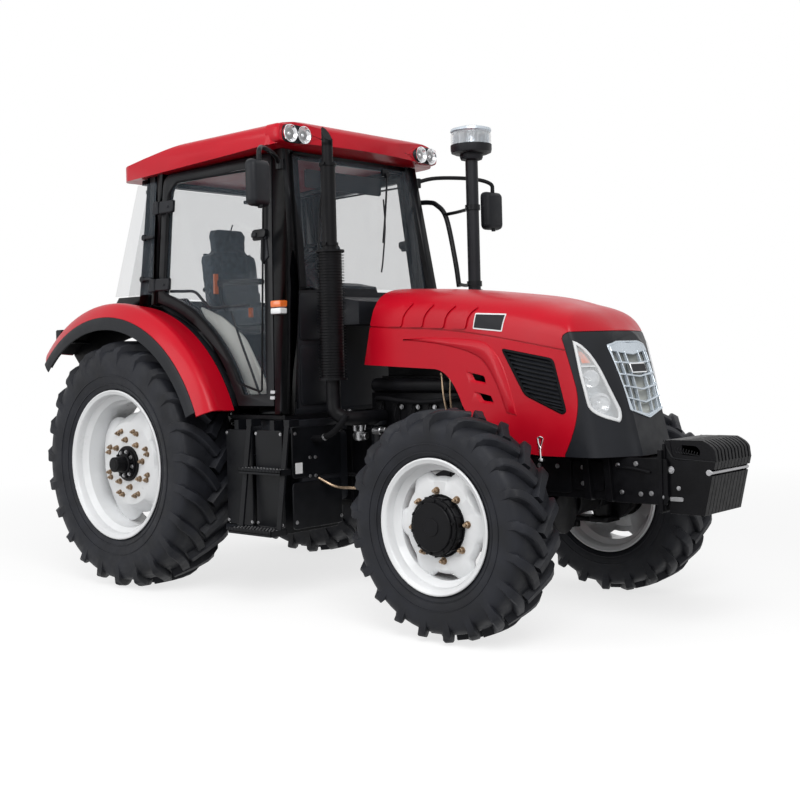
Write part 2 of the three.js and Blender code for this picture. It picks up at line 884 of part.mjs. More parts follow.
// Floor, firewall, seat platform, wheel arches and rear wall
function cabTub() {
  const low = FLOOR_TOP - FLOOR_THICK;
  const seatTop = 1380;
  const platformFront = -2050;
  const floorRear = -1640; // behind this the floor narrows between the arches
  const reach = 600;
  const left = [
    arcBand(ARC.inner - ARCH_THICK, ARC.inner, ARC.from + 1, 104, ARCH_INNER, FENDER.inner.y - 14),
    cut(
      prism(
        "y",
        [
          [floorRear, low],
          [floorRear, FLOOR_TOP],
          [-2000, 1560],
          [-2300, SILL_Z - 20],
          [REAR_WALL_X, SILL_Z - 20],
          [REAR_WALL_X, seatTop - 30],
          [platformFront, seatTop - 30],
          [platformFront, low],
        ],
        ARCH_INNER - 16,
        ARCH_INNER + 2,
      ),
      prism("y", LEG_CUTOUT, 0, 700),
    ),
  ];
  return join(
    box(floorRear, FIREWALL_X + 1, -reach, reach, low, FLOOR_TOP),
    box(platformFront, floorRear + 1, -ARCH_INNER, ARCH_INNER, low, FLOOR_TOP),
    box(platformFront - 20, platformFront, -ARCH_INNER, ARCH_INNER, low, seatTop),
    box(REAR_WALL_X, platformFront, -ARCH_INNER, ARCH_INNER, seatTop - 30, seatTop),
    box(FIREWALL_X - 24, FIREWALL_X, -570, 570, low, WINDSHIELD.bottom - 12),
    box(REAR_WALL_X, REAR_WALL_X + 24, -ARCH_INNER, ARCH_INNER, seatTop - 30, SILL_Z - 12),
    box(REAR_WALL_X, REAR_WALL_X + 24, -652, 652, ARC.z + 930, SILL_Z - 12),
    prism("y", [[FIREWALL_X - 1, 1560], [-985, 1560], [-985, 1690], [FIREWALL_X - 1, 1735]], -330, 330),
    ...left,
    ...left.map(mirrored),
  );
}
add("cab_tub", cabTub(), TRIM);

// A crowned shell, thick over the lamps at the front and thin at the rear
function roof() {
  const eave = CAB_EAVE;
  const side = new THREE.Shape();
  side.moveTo(-2712, eave - 22);
  side.lineTo(-2722, eave + 64);
  side.quadraticCurveTo(-2400, eave + 104, -1990, eave + 164);
  side.quadraticCurveTo(-1600, eave + 190, -1262, eave + 174);
  side.lineTo(-1205, eave + 120);
  side.lineTo(-1200, eave + 52);
  side.lineTo(-1290, eave + 29);
  const front = new THREE.Shape();
  front.moveTo(-686, eave - 68);
  front.lineTo(-706, eave + 42);
  front.lineTo(-690, eave + 140);
  front.quadraticCurveTo(-400, eave + 190, 0, eave + 192);
  front.quadraticCurveTo(400, eave + 190, 690, eave + 140);
  front.lineTo(706, eave + 42);
  front.lineTo(686, eave - 68);
  const plan = new THREE.Shape();
  plan.moveTo(-2722, -600);
  plan.quadraticCurveTo(-2716, -668, -2640, -686);
  plan.lineTo(-2000, -706);
  plan.lineTo(-1330, -704);
  plan.quadraticCurveTo(-1270, -700, -1250, -640);
  plan.quadraticCurveTo(-1200, -300, -1200, 0);
  plan.quadraticCurveTo(-1200, 300, -1250, 640);
  plan.quadraticCurveTo(-1270, 700, -1330, 704);
  plan.lineTo(-2000, 706);
  plan.lineTo(-2640, 686);
  plan.quadraticCurveTo(-2716, 668, -2722, 600);
  const whole = common(
    prism("y", side, -800, 800),
    prism("x", front, -2800, -1100),
    prism("z", plan, eave - 148, eave + 352),
  );
  // The underside keeps clear of the raked frame
  const under = box(-2800, -1100, -900, 900, eave - 248, eave + GAP);
  return cut(whole, moved(under, rake));
}
add("roof", roof(), RED);

// Bowed sheet of glass between the A posts, leaning back with them
function windshield() {
  const w = WINDSHIELD;
  const half = 640;
  const shape = new THREE.Shape();
  shape.moveTo(-4, -half);
  shape.quadraticCurveTo(w.bulge * 2 - 4, 0, -4, half);
  shape.lineTo(-4 - GLASS, half);
  shape.quadraticCurveTo(w.bulge * 2 - 4 - GLASS, 0, -4 - GLASS, -half);
  const top = CAB_EAVE - 36;
  const topHalf = w.half + w.sideLean * (top - w.bottom);
  const pane = prism("z", shape, w.bottom, top);
  const lean = (w.topX - w.bottomX) / (CAB_EAVE - w.bottom);
  moved(pane, (v) => {
    v.x += w.bottomX + lean * (v.z - w.bottom);
  });
  const sides = prism(
    "x",
    [
      [-w.half, w.bottom],
      [w.half, w.bottom],
      [topHalf, top],
      [-topHalf, top],
    ],
    -1500,
    -1000,
  );
  return moved(common(pane, sides), rake);
}
add("windshield", windshield(), PANE);

function rearWindow() {
  const shape = new THREE.Shape();
  const half = 640;
  shape.moveTo(-half, 0);
  shape.lineTo(half, 0);
  shape.lineTo(half - 60, CAB_EAVE - 36 - SILL_Z);
  shape.lineTo(60 - half, CAB_EAVE - 36 - SILL_Z);
  const pane = prism("x", shape, 0, GLASS);
  const lean = (-2570 - REAR_WALL_X) / (CAB_EAVE - 36 - SILL_Z);
  moved(pane, (v) => {
    v.x += REAR_WALL_X - 4 + lean * v.z;
    v.z += SILL_Z;
    rake(v);
  });
  return pane;
}
add("rear_window", rearWindow(), PANE);

function quarterWindow() {
  const outline = [
    [DOOR_REAR - 64, SILL_Z + 4],
    [REAR_WALL_X + 14, SILL_Z + 4],
    [-2552, CAB_EAVE - 38],
    [DOOR_REAR - 64, CAB_EAVE - 38],
  ];
  return sidePanel(outline, 3, 3 + GLASS);
}
addPair("quarter_window", quarterWindow(), PANE);

// ---------------------------------------------------------------- inside the cab

function console_() {
  const column = tube(
    [
      [-1420, 0, 1500],
      [-1560, 0, 1720],
      [-1700, 0, 1905],
    ],
    38,
    8,
    6,
  );
  const pod = prism(
    "y",
    [
      [FIREWALL_X - 24 - GAP, FLOOR_TOP + GAP],
      [-1440, FLOOR_TOP + GAP],
      [-1500, 1640],
      [-1440, 1830],
      [-1290, 1800],
      [FIREWALL_X - 24 - GAP, 1700],
    ],
    -150,
    150,
  );
  const wheelAxis = new THREE.Matrix4()
    .makeTranslation(-1705, 0, 1925)
    .multiply(new THREE.Matrix4().makeRotationY(-0.62));
  const rim = new THREE.TorusGeometry(190, 15, 6, 20).applyMatrix4(wheelAxis);
  const hub = new THREE.CylinderGeometry(46, 46, 40, 12).rotateX(Math.PI / 2).applyMatrix4(wheelAxis);
  const spokes = [0, 120, 240].map((deg) => {
    const bar = new THREE.BoxGeometry(170, 28, 14).translate(100, 0, 0);
    return bar.rotateZ(THREE.MathUtils.degToRad(deg)).applyMatrix4(wheelAxis);
  });
  return join(pod, column, rim, hub, ...spokes);
}
add("steering_console", console_(), TRIM);

const SEAT = { x: -2205, half: 235, top: 1700 };
add(
  "seat_base",
  join(
    box(SEAT.x - 200, SEAT.x + 200, -150, 150, 1380 + GAP, 1540),
    box(SEAT.x - 230, SEAT.x + 230, -200, 200, 1540 - 1, 1590),
  ),
  TRIM,
);
add(
  "seat_cushion",
  prism("z", roundedRect(SEAT.x - 245, SEAT.x + 265, -SEAT.half, SEAT.half, 60), 1590 + GAP, SEAT.top),
  CLOTH,
);

function seatBack() {
  const back = prism("x", roundedRect(-SEAT.half + 10, SEAT.half - 10, 0, 430, 60), 0, 110);
  const head = prism("x", roundedRect(-150, 150, 380, 600, 60), 20, 100);
  const piece = join(back, head);
  return moved(piece, (v) => {
    v.x += SEAT.x - 290 - 0.13 * v.z;
    v.z += SEAT.top - 30;
  });
}
add("seat_back", cut(seatBack(), box(SEAT.x - 246, 0, -400, 400, 1500, SEAT.top + GAP)), CLOTH);

// ---------------------------------------------------------------- fenders

// A ring section turned about the fender's axis and kept between two angles
function fenderSector(profile, from, to) {
  const points = profile.map(([r, y]) => new THREE.Vector2(r, y));
  const ring = outward(new THREE.LatheGeometry([...points, points[0]], 60));
  const sector = new THREE.Shape();
  sector.moveTo(0, 0);
  for (const deg of [from, (from * 2 + to) / 3, (from + to * 2) / 3, to]) {
    const a = THREE.MathUtils.degToRad(deg);
    sector.lineTo(1600 * Math.cos(a), 1600 * Math.sin(a));
  }
  return common(ring, prism("y", sector, 0, 1200)).translate(ARC.x, 0, ARC.z);
}

// Shell section between edges given as {r, y}, its skin on the underside
function fenderSection(edges) {
  const under = edges.map(({ r, y }) => [r - FENDER.skin, y - FENDER.skin * 0.35]).reverse();
  return [...edges.map(({ r, y }) => [r, y]), ...under];
}

function fender() {
  const f = FENDER;
  const bend = { r: f.shoulder.r - 8, y: f.shoulder.y + 22 };
  return fenderSector(fenderSection([f.inner, f.shoulder, bend, f.seam]), ARC.from, ARC.to);
}

function fenderLip() {
  const f = FENDER;
  const start = { r: f.seam.r - GAP, y: f.seam.y + GAP };
  const profile = [
    [start.r, start.y],
    [f.lip.r, f.lip.y],
    [f.lip.r, f.lip.y - 12],
    [start.r - f.skin, start.y - f.skin * 0.35],
  ];
  return fenderSector(profile, ARC.from + 3, ARC.to + 1);
}
addPair("fender", fender(), RED);
addPair("fender_lip", fenderLip(), BLACK);

// ---------------------------------------------------------------- steps, tank and battery box

function stepBox(rear, front, half) {
  const inner = ENGINE.half + 60;
  const trayZ = [399, 799];
  const treads = [
    box(-1679, -1434, half - 40, half + 120, trayZ[0], trayZ[0] + 34),
    box(-1650, -1434, half - 20, half + 60, trayZ[1], trayZ[1] + 30),
  ];
  const stringers = [-1668, -1446].map((x) => box(x - 6, x + 6, half - 40, half + 30, trayZ[0] + 10, 1000));
  const shelf = box(-1674, front, inner, half + 25, 960, 1030);
  const body = prism("x", roundedRect(inner, half, 560, 961, 40), rear, front);
  return join(body, shelf, ...treads, ...stringers);
}
add("fuel_tank", stepBox(-1600, -1010, 640), BLACK);
add("battery_box", mirrored(stepBox(-1600, -1150, 640)), BLACK);

// ---------------------------------------------------------------- exhaust, intake and mirrors

function exhaust() {
  const e = EXHAUST;
  const elbow = tube(
    [
      [e.x, e.y, e.low + 20],
      [e.x, e.y, 1140],
      [e.x + 40, e.y - 90, 1060],
      [e.x + 60, ENGINE.half + 40, 1040],
      [e.x + 60, ENGINE.half + GAP, 1040],
    ],
    e.pipe,
    10,
    10,
  );
  const tip = rod("z", e.tip, e.high - 1, e.top, e.x, e.y, 12);
  const aboveTip = [
    [e.x - 90, e.top + 20],
    [e.x + 90, e.top + 20],
    [e.x + 90, e.top + 5],
    [e.x - 90, e.top - 95],
  ];
  const slant = prism("y", aboveTip, 0, 900);
  return join(
    elbow,
    rod("z", e.muffler, e.low, e.mid, e.x, e.y, 16),
    rod("z", e.pipe, e.mid - 1, e.high, e.x, e.y, 12),
    cut(tip, slant),
  );
}
add("exhaust", mirrored(exhaust()), BLACK);

function airIntake() {
  const n = INTAKE;
  const elbow = tube(
    [
      [n.x, n.y, n.low + 20],
      [n.x, n.y, 1160],
      [n.x, n.y - 90, 1090],
      [n.x, ENGINE.half + 40, 1080],
      [n.x, ENGINE.half + GAP, 1080],
    ],
    n.stem,
    10,
    10,
  );
  return join(
    elbow,
    rod("z", n.stem, n.low, n.bowlLow + 1, n.x, n.y, 12),
    rod("z", n.bowl * 0.72, n.bowlLow, n.bowlHigh + 1, n.x, n.y, 20),
    rod("z", n.bowl, n.bowlHigh, n.top - 22, n.x, n.y, 20),
    rod("z", n.bowl * 0.86, n.top - 23, n.top, n.x, n.y, 20),
  );
}
add("air_intake", airIntake(), BLACK);

function mirror() {
  const m = MIRROR;
  const head = prism(
    "x",
    roundedRect(m.y - m.wide / 2, m.y + m.wide / 2, m.z - m.tall / 2, m.z + m.tall / 2, 40),
    m.x - m.deep / 2,
    m.x + m.deep / 2,
  );
  const arm = tube(
    [
      [-1344, 613, 2400],
      [-1334, 609, 2460],
      [-1270, 640, 2492],
      [m.x - 40, m.y - 130, 2500],
      [m.x, m.y, 2490],
      [m.x, m.y, m.z + m.tall / 2 - 20],
    ],
    13,
    8,
    14,
  );
  return join(head, arm);
}
addPair("mirror", mirror(), BLACK);

// ---------------------------------------------------------------- rear linkage and drawbar

function drawbar() {
  const d = DRAWBAR;
  const h = d.hanger;
  const low = d.top - d.thick;
  return join(
    box(d.rear, d.front, -d.half, d.half, low, d.top),
    box(h.rear, h.front, -h.half, h.half, low, REAR_HOUSING.bottom - GAP),
  );
}
add("drawbar", drawbar(), CAST);

// A flat bar between two points in side view, with round eyes at both ends
function linkBar(a, b, half, thick, y) {
  const angle = Math.atan2(b.z - a.z, b.x - a.x);
  const length = Math.hypot(b.x - a.x, b.z - a.z);
  const shape = new THREE.Shape();
  shape.absarc(0, 0, half, Math.PI / 2, 1.5 * Math.PI);
  shape.absarc(length, 0, half, -Math.PI / 2, Math.PI / 2);
  return prism("y", shape, -thick / 2, thick / 2).rotateY(-angle).translate(a.x, y, a.z);
}

function lowerLink() {
  const bar = linkBar(LINK_PIVOT, LINK_END, 34, 26, 0);
  const spread = (LINK_END.y - LINK_PIVOT.y) / (LINK_END.x - LINK_PIVOT.x);
  return moved(bar, (v) => {
    v.y += LINK_PIVOT.y + spread * (v.x - LINK_PIVOT.x);
  });
}
addPair("lower_link", lowerLink(), CAST);

const LIFT_TIP = {
  x: LIFT_PIVOT.x - LIFT_ARM.length * Math.cos(THREE.MathUtils.degToRad(LIFT_ARM.rise)),
  z: LIFT_PIVOT.z + LIFT_ARM.length * Math.sin(THREE.MathUtils.degToRad(LIFT_ARM.rise)),
};

function liftArms() {
  const arms = [-LIFT_ARM.half, LIFT_ARM.half].map((y) =>
    linkBar(LIFT_PIVOT, LIFT_TIP, 40, LIFT_ARM.thick, y),
  );
  const shaft = rod("y", 42, -LIFT_ARM.half - 20, LIFT_ARM.half + 20, LIFT_PIVOT.x, LIFT_PIVOT.z, 20);
  return join(shaft, ...arms);
}
add("lift_arms", liftArms(), CAST);

// The lift rods pass outside the lower links and end at the pins on them
const ROD_FOOT_X = -3020;
const ROD_THICK = 22;
function liftRod() {
  const slope = (LINK_END.z - LINK_PIVOT.z) / (LINK_END.x - LINK_PIVOT.x);
  const foot = { x: ROD_FOOT_X, z: LINK_PIVOT.z + slope * (ROD_FOOT_X - LINK_PIVOT.x) };
  const y = LIFT_ARM.half + LIFT_ARM.thick / 2 + CLEARANCE + ROD_THICK / 2;
  return linkBar(LIFT_TIP, foot, 24, ROD_THICK, y);
}
addPair("lift_rod", liftRod(), CAST);

function topLink() {
  const a = { x: REAR_HOUSING.rear - 40, z: 900 };
  const b = { x: a.x - 30, z: 1330 };
  return join(
    linkBar(a, b, 26, 30, 0),
    box(REAR_HOUSING.rear - 70, REAR_HOUSING.rear - GAP, -45, -21, 780, 960),
    box(REAR_HOUSING.rear - 70, REAR_HOUSING.rear - GAP, 21, 45, 780, 960),
    rod("y", 13, -45, 45, a.x, a.z, 12),
  );
}
add("top_link", topLink(), CAST);

// ---------------------------------------------------------------- origin

const OVERALL = new THREE.Box3().setFromObject(tractor);
tractor.position.x = -(OVERALL.min.x + OVERALL.max.x) / 2;

export default tractor;
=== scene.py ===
"""Farm tractor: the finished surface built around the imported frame.

Sizes are millimetres from the front axle, on the ground, +X forward, +Y left, +Z up, as in the part's
source; Piece.done() turns them into metres in the row frame.
"""
import json
import math

import bmesh
import bpy
from mathutils import Matrix, Vector


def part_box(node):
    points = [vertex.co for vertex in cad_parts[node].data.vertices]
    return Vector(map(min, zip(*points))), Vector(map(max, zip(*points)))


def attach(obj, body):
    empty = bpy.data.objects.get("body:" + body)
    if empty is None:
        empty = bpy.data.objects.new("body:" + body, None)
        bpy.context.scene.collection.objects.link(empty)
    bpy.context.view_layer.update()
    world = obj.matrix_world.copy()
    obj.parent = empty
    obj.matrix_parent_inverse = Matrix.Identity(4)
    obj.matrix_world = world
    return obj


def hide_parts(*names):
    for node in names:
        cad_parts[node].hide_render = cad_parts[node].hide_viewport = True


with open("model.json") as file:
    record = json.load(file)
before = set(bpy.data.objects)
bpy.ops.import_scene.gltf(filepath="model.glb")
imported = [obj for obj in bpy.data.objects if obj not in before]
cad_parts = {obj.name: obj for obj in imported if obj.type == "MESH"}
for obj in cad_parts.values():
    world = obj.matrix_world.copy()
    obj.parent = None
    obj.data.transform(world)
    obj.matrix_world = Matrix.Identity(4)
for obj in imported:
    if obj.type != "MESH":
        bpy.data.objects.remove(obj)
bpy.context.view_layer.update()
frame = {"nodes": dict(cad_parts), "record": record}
NODES = frame["nodes"]


def middle(node):
    low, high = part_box(node)
    return (low + high) / 2


AXLE_X = middle("front_tyre_left").x  # the front axle in the row frame, metres
SIDES = (("left", 1), ("right", -1))


def box_mm(node):
    """A CAD node's box in this script's millimetres"""
    low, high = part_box(node)
    shift = Vector((AXLE_X, 0, 0))
    return (low - shift) * 1000, (high - shift) * 1000


# ------------------------------------------------------------------ materials

LOOKS = {}


def noise_node(tree, coordinates, scale, detail=3.0):
    node = tree.nodes.new("ShaderNodeTexNoise")
    node.inputs["Scale"].default_value = scale
    node.inputs["Detail"].default_value = detail
    tree.links.new(coordinates, node.inputs["Vector"])
    return node.outputs["Fac"]


def span(tree, value, low, high, start=0.3, end=0.7):
    node = tree.nodes.new("ShaderNodeMapRange")
    node.inputs["From Min"].default_value = start
    node.inputs["From Max"].default_value = end
    node.inputs["To Min"].default_value = low
    node.inputs["To Max"].default_value = high
    tree.links.new(value, node.inputs["Value"])
    return node.outputs["Result"]


def look(slot, colour, rough, vary=0.12, scale=5.0, grain=300.0, bump=0.05, **sockets):
    """A painted or moulded finish whose tone, gloss and fine grain all drift over the surface"""
    material = bpy.data.materials.new(slot)
    material.use_nodes = True
    tree = material.node_tree
    shader = tree.nodes["Principled BSDF"]
    place = tree.nodes.new("ShaderNodeTexCoord").outputs["Object"]
    drift = span(tree, noise_node(tree, place, scale), 0, 1)
    mix = tree.nodes.new("ShaderNodeMix")
    mix.data_type = "RGBA"
    mix.inputs["A"].default_value = (*[c * (1 - vary) for c in colour], 1)
    mix.inputs["B"].default_value = (*[min(1, c * (1 + vary)) for c in colour], 1)
    tree.links.new(drift, mix.inputs["Factor"])
    tree.links.new(mix.outputs["Result"], shader.inputs["Base Color"])
    wear = noise_node(tree, place, scale * 4)
    tree.links.new(span(tree, wear, rough * 0.85, min(1, rough * 1.15)), shader.inputs["Roughness"])
    if bump:
        node = tree.nodes.new("ShaderNodeBump")
        node.inputs["Strength"].default_value = bump
        node.inputs["Distance"].default_value = 0.001
        tree.links.new(noise_node(tree, place, grain, 2.0), node.inputs["Height"])
        tree.links.new(node.outputs["Normal"], shader.inputs["Normal"])
    for name, value in sockets.items():
        shader.inputs[name.replace("_", " ")].default_value = value
    LOOKS[slot] = material
    return material


look("body_red", (0.53, 0.003, 0.016), 0.34, vary=0.08, scale=2.0, bump=0.02, Specular_IOR_Level=0.2,
     Coat_Weight=0.08, Coat_Roughness=0.06)
look("frame_black", (0.005, 0.0055, 0.007), 0.36, vary=0.25, bump=0.08, Specular_IOR_Level=0.18)
look("cast_black", (0.004, 0.004, 0.005), 0.42, vary=0.35, scale=9, grain=160, bump=0.5,
     Specular_IOR_Level=0.12)
look("plastic_black", (0.011, 0.012, 0.015), 0.46, vary=0.2, grain=500, bump=0.15, Specular_IOR_Level=0.2)
look("rim_white", (0.80, 0.81, 0.82), 0.32, vary=0.05, scale=4, bump=0.03, Coat_Weight=0.3)
look("tyre", (0.012, 0.013, 0.017), 0.55, vary=0.4, scale=7, grain=220, bump=0.35, Specular_IOR_Level=0.22)
look("rubber_black", (0.005, 0.005, 0.006), 0.7, vary=0.3, bump=0.2, Specular_IOR_Level=0.12)
look("glass", (0.10, 0.13, 0.16), 0.03, vary=0.08, bump=0, Alpha=0.13)
look("lamp_lens", (0.92, 0.94, 0.95), 0.06, vary=0.04, bump=0, Alpha=0.30)
look("grille_silver", (0.58, 0.64, 0.70), 0.28, vary=0.10, bump=0.03, Metallic=0.5)
look("seat_fabric", (0.045, 0.062, 0.078), 0.85, vary=0.4, scale=30, grain=900, bump=0.5, Sheen_Weight=0.2)
look("trim_grey", (0.50, 0.51, 0.48), 0.6, vary=0.08, grain=600, bump=0.15)
look("steel", (0.36, 0.36, 0.37), 0.38, vary=0.15, Metallic=1.0)
look("chrome", (0.82, 0.83, 0.85), 0.10, vary=0.05, bump=0, Metallic=1.0)
look("bronze_nuts", (0.30, 0.22, 0.15), 0.38, vary=0.25, scale=40, Metallic=0.9)
look("amber_lens", (0.80, 0.16, 0.02), 0.15, vary=0.08, bump=0, Coat_Weight=0.6)
look("red_lens", (0.50, 0.01, 0.01), 0.15, vary=0.08, bump=0, Coat_Weight=0.6)
look("mirror_face", (0.80, 0.82, 0.84), 0.03, vary=0.03, bump=0, Metallic=1.0)


# ------------------------------------------------------------------ shapes


def spun(axis):
    """Turns local Z onto an axis given by its letter"""
    turn = {"x": Matrix.Rotation(math.pi / 2, 4, "Y"), "y": Matrix.Rotation(-math.pi / 2, 4, "X")}
    return turn.get(axis, Matrix.Identity(4))


def at(x, y, z, axis="z", turn=0.0):
    """A place whose local Z runs along an axis, turned about itself"""
    return Matrix.Translation((x, y, z)) @ spun(axis) @ Matrix.Rotation(turn, 4, "Z")


def flipped(sign):
    """Half a turn that makes a left-hand place face right, where sign is -1"""
    return Matrix.Rotation(math.pi * (sign < 0), 4, "X")


def outward(x, y, z, sign):
    """A place on the tractor's side whose local Z points away from its middle"""
    return at(x, sign * y, z, "y") @ flipped(sign)


def facing(outline, x, hand=1):
    """A (y, z) outline in front view as points at x, mirrored to the right by hand = -1"""
    return [(x, hand * y, z) for y, z in outline]


def beside(outline, y):
    """An (x, z) outline in side view as points at y"""
    return [(x, y, z) for x, z in outline]


def smooth_path(points, steps):
    """Points along a smooth curve through the given ones (Catmull-Rom)"""
    p = [Vector(q) for q in points]
    p = [2 * p[0] - p[1], *p, 2 * p[-1] - p[-2]]
    out = []
    for i in range(1, len(p) - 2):
        for k in range(steps):
            t = k / steps
            out.append(0.5 * ((2 * p[i]) + (p[i + 1] - p[i - 1]) * t
                              + (2 * p[i - 1] - 5 * p[i] + 4 * p[i + 1] - p[i + 2]) * t * t
                              + (3 * p[i] - p[i - 1] - 3 * p[i + 1] + p[i + 2]) * t ** 3))
    out.append(p[-2])
    return out


def sampled(points, steps=24):
    """A smooth flat curve through (x, y) points"""
    return [(p.x, p.y) for p in smooth_path([(x, y, 0) for x, y in points], steps)]


def round_rect(x0, x1, y0, y1, r, steps=4):
    """A rectangle with corners of radius r"""
    corners = ((x1 - r, y0 + r), (x1 - r, y1 - r), (x0 + r, y1 - r), (x0 + r, y0 + r))
    points = []
    for i, (x, y) in enumerate(corners):
        for k in range(steps + 1):
            a = (i - 1 + k / steps) * math.pi / 2
            points.append((x + r * math.cos(a), y + r * math.sin(a)))
    return points


def circle(radius, sides, start=0.0):
    return [(radius * math.cos(start + 2 * math.pi * i / sides),
             radius * math.sin(start + 2 * math.pi * i / sides))
            for i in range(sides)]


def bezier(a, b, c, steps=10):
    """A bend from a towards c, pulled by b; c itself is left to the next part of the outline"""
    bend = []
    for i in range(steps):
        t = i / steps
        bend.append(tuple((1 - t) ** 2 * a[k] + 2 * t * (1 - t) * b[k] + t * t * c[k] for k in (0, 1)))
    return bend


def grown(outline, by):
    """An outline moved outwards, or inwards for a negative amount"""
    count = len(outline)
    area = sum(outline[i][0] * outline[(i + 1) % count][1] - outline[(i + 1) % count][0] * outline[i][1]
               for i in range(count))
    hand = 1 if area > 0 else -1
    out = []
    for i in range(count):
        a, b, c = (Vector(outline[k]) for k in ((i - 1) % count, i, (i + 1) % count))
        n0 = Vector(((b - a).y, -(b - a).x)).normalized() * hand
        n1 = Vector(((c - b).y, -(c - b).x)).normalized() * hand
        n = n0 + n1
        n = n / max(0.35, n.length_squared / 2) if n.length > 0.1 else n0
        out.append((b.x + n.x * by, b.y + n.y * by))
    return out


def rounded(outline, radius, steps=3):
    """An outline with its corners rounded"""
    count = len(outline)
    out = []
    for i in range(count):
        a, b, c = (Vector(outline[k]) for k in ((i - 1) % count, i, (i + 1) % count))
        r = min(radius, (a - b).length * 0.45, (c - b).length * 0.45)
        p = b + (a - b).normalized() * r
        q = b + (c - b).normalized() * r
        for k in range(steps + 1):
            t = k / steps
            v = (1 - t) ** 2 * p + 2 * t * (1 - t) * b + t * t * q
            out.append((v.x, v.y))
    return out


def soft_rect(x0, x1, y0, y1, radius):
    return rounded([(x0, y0), (x1, y0), (x1, y1), (x0, y1)], radius)


def ribbon(points, wide):
    """Outline of a strip along points"""
    left, right = [], []
    for i, p in enumerate(points):
        a, b = Vector(points[max(i - 1, 0)]), Vector(points[min(i + 1, len(points) - 1)])
        n = Vector((-(b - a).y, (b - a).x)).normalized() * wide / 2
        left.append((p[0] + n.x, p[1] + n.y))
        right.append((p[0] - n.x, p[1] - n.y))
    return left + right[::-1]


class Piece:
    """One visible piece: closed solids gathered into a mesh, in millimetres"""

    def __init__(self, name):
        self.name = name
        self.mesh = bmesh.new()

    def loft(self, rings, loop=False, caps=True, place=None):
        """Skin through rings that have the same number of points"""
        make = self.mesh
        rows = []
        for ring in rings:
            row = []
            for p in ring:
                v = Vector(p)
                row.append(make.verts.new(place @ v if place else v))
            rows.append(row)
        count = len(rows[0])
        last = len(rows) if loop else len(rows) - 1
        for i in range(last):
            a, b = rows[i], rows[(i + 1) % len(rows)]
            for k in range(count):
                m = (k + 1) % count
                make.faces.new((a[k], a[m], b[m], b[k]))
        if caps and not loop:
            make.faces.new(list(reversed(rows[0])))
            make.faces.new(rows[-1])
        return self

    def prism(self, outline, low, high, place=None):
        """Flat outline (x, y) raised from z = low to high, then placed"""
        return self.loft([[(x, y, z) for x, y in outline] for z in (low, high)], place=place)

    def box(self, x0, x1, y0, y1, z0, z1, place=None):
        return self.prism([(x0, y0), (x1, y0), (x1, y1), (x0, y1)], z0, z1, place)

    def turned(self, profile, sides, place):
        """Closed (radius, height) profile turned about local Z"""
        rings = []
        for i in range(sides):
            a = 2 * math.pi * i / sides
            rings.append([(r * math.cos(a), r * math.sin(a), z) for r, z in profile])
        return self.loft(rings, loop=True, place=place)

    def side_box(self, side, x0, x1, y0, y1, z0, z1):
        """A box whose Y range is given for the left and mirrored for side = -1"""
        return self.box(x0, x1, *sorted((side * y0, side * y1)), z0, z1)

    def collar(self, inner, outer, low, high, sides, place):
        """A plain ring about local Z"""
        return self.turned([(inner, low), (outer, low), (outer, high), (inner, high)], sides, place)

    def drum(self, radius, low, high, place, sides=24, chamfer=0.0):
        """A round bar or disc with optional chamfered ends"""
        c = chamfer
        steps = [(radius - c, low), (radius, low + c), (radius, high - c), (radius - c, high)] if c else \
            [(radius, low), (radius, high)]
        return self.loft([[(*q, z) for q in circle(r, sides)] for r, z in steps], place=place)

    def tube(self, points, radius, sides=12, steps=8, straight=False):
        """A round pipe through points"""
        path = [Vector(p) for p in points] if straight else smooth_path(points, steps)
        rings = []
        up = Vector((0.13, 0.27, 1))
        for i, p in enumerate(path):
            ahead = path[min(i + 1, len(path) - 1)] - path[max(i - 1, 0)]
            ahead.normalize()
            side = ahead.cross(up)
            if side.length < 0.05:
                side = ahead.cross(Vector((1, 0, 0)))
            side.normalize()
            up = side.cross(ahead).normalized()
            rings.append([p + side * (radius * c) + up * (radius * s) for c, s in circle(1, sides)])
        return self.loft(rings)

    def bolt(self, place, size=9.0, tall=7.0):
        """A hexagon head on a washer"""
        self.drum(size * 1.35, 0, tall * 0.3, place, 16)
        self.drum(size, tall * 0.3, tall, place, 6)
        return self

    def ball(self, centre, radii, place=None, sides=20, rows=12):
        rings = []
        for i in range(1, rows):
            a = math.pi * i / rows
            rings.append([(centre[0] + radii[0] * math.sin(a) * c, centre[1] + radii[1] * math.sin(a) * s,
                           centre[2] - radii[2] * math.cos(a)) for c, s in circle(1, sides)])
        return self.loft(rings, place=place)

    def as_object(self):
        """The mesh as a bare object, in metres and in the row frame"""
        make = self.mesh
        bmesh.ops.recalc_face_normals(make, faces=make.faces)
        for v in make.verts:
            v.co = v.co / 1000 + Vector((AXLE_X, 0, 0))
        data = bpy.data.meshes.new(self.name)
        make.to_mesh(data)
        make.free()
        return new_object(self.name, data)

    def done(self, slot, body="chassis", replaces=(), bevel=0.0, angle=35.0, segments=2):
        """Makes the finished object"""
        return finish_piece(self.as_object(), slot, body, replaces, bevel, angle, segments)


def new_object(name, data):
    made = bpy.data.objects.new(name, data)
    bpy.context.scene.collection.objects.link(made)
    return made


def finish_piece(made, slot, body, replaces=(), bevel=0.0, angle=35.0, segments=2):
    """Material, bevel, the body that the piece rides on, and the CAD nodes that it stands for"""
    made.data.materials.clear()
    made.data.materials.append(LOOKS[slot])
    made.data.shade_smooth()
    made.data.set_sharp_from_angle(angle=math.radians(angle))
    if bevel:
        soften(made, bevel, segments)
    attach(made, body)
    if replaces:
        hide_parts(*replaces)
    return made


def soften(made, width, segments=2):
    """Small rounded edges, in millimetres"""
    edge = made.modifiers.new("edges", "BEVEL")
    edge.width = width / 1000
    edge.segments = segments
    edge.limit_method = "ANGLE"
    edge.angle_limit = math.radians(32)
    edge.harden_normals = True


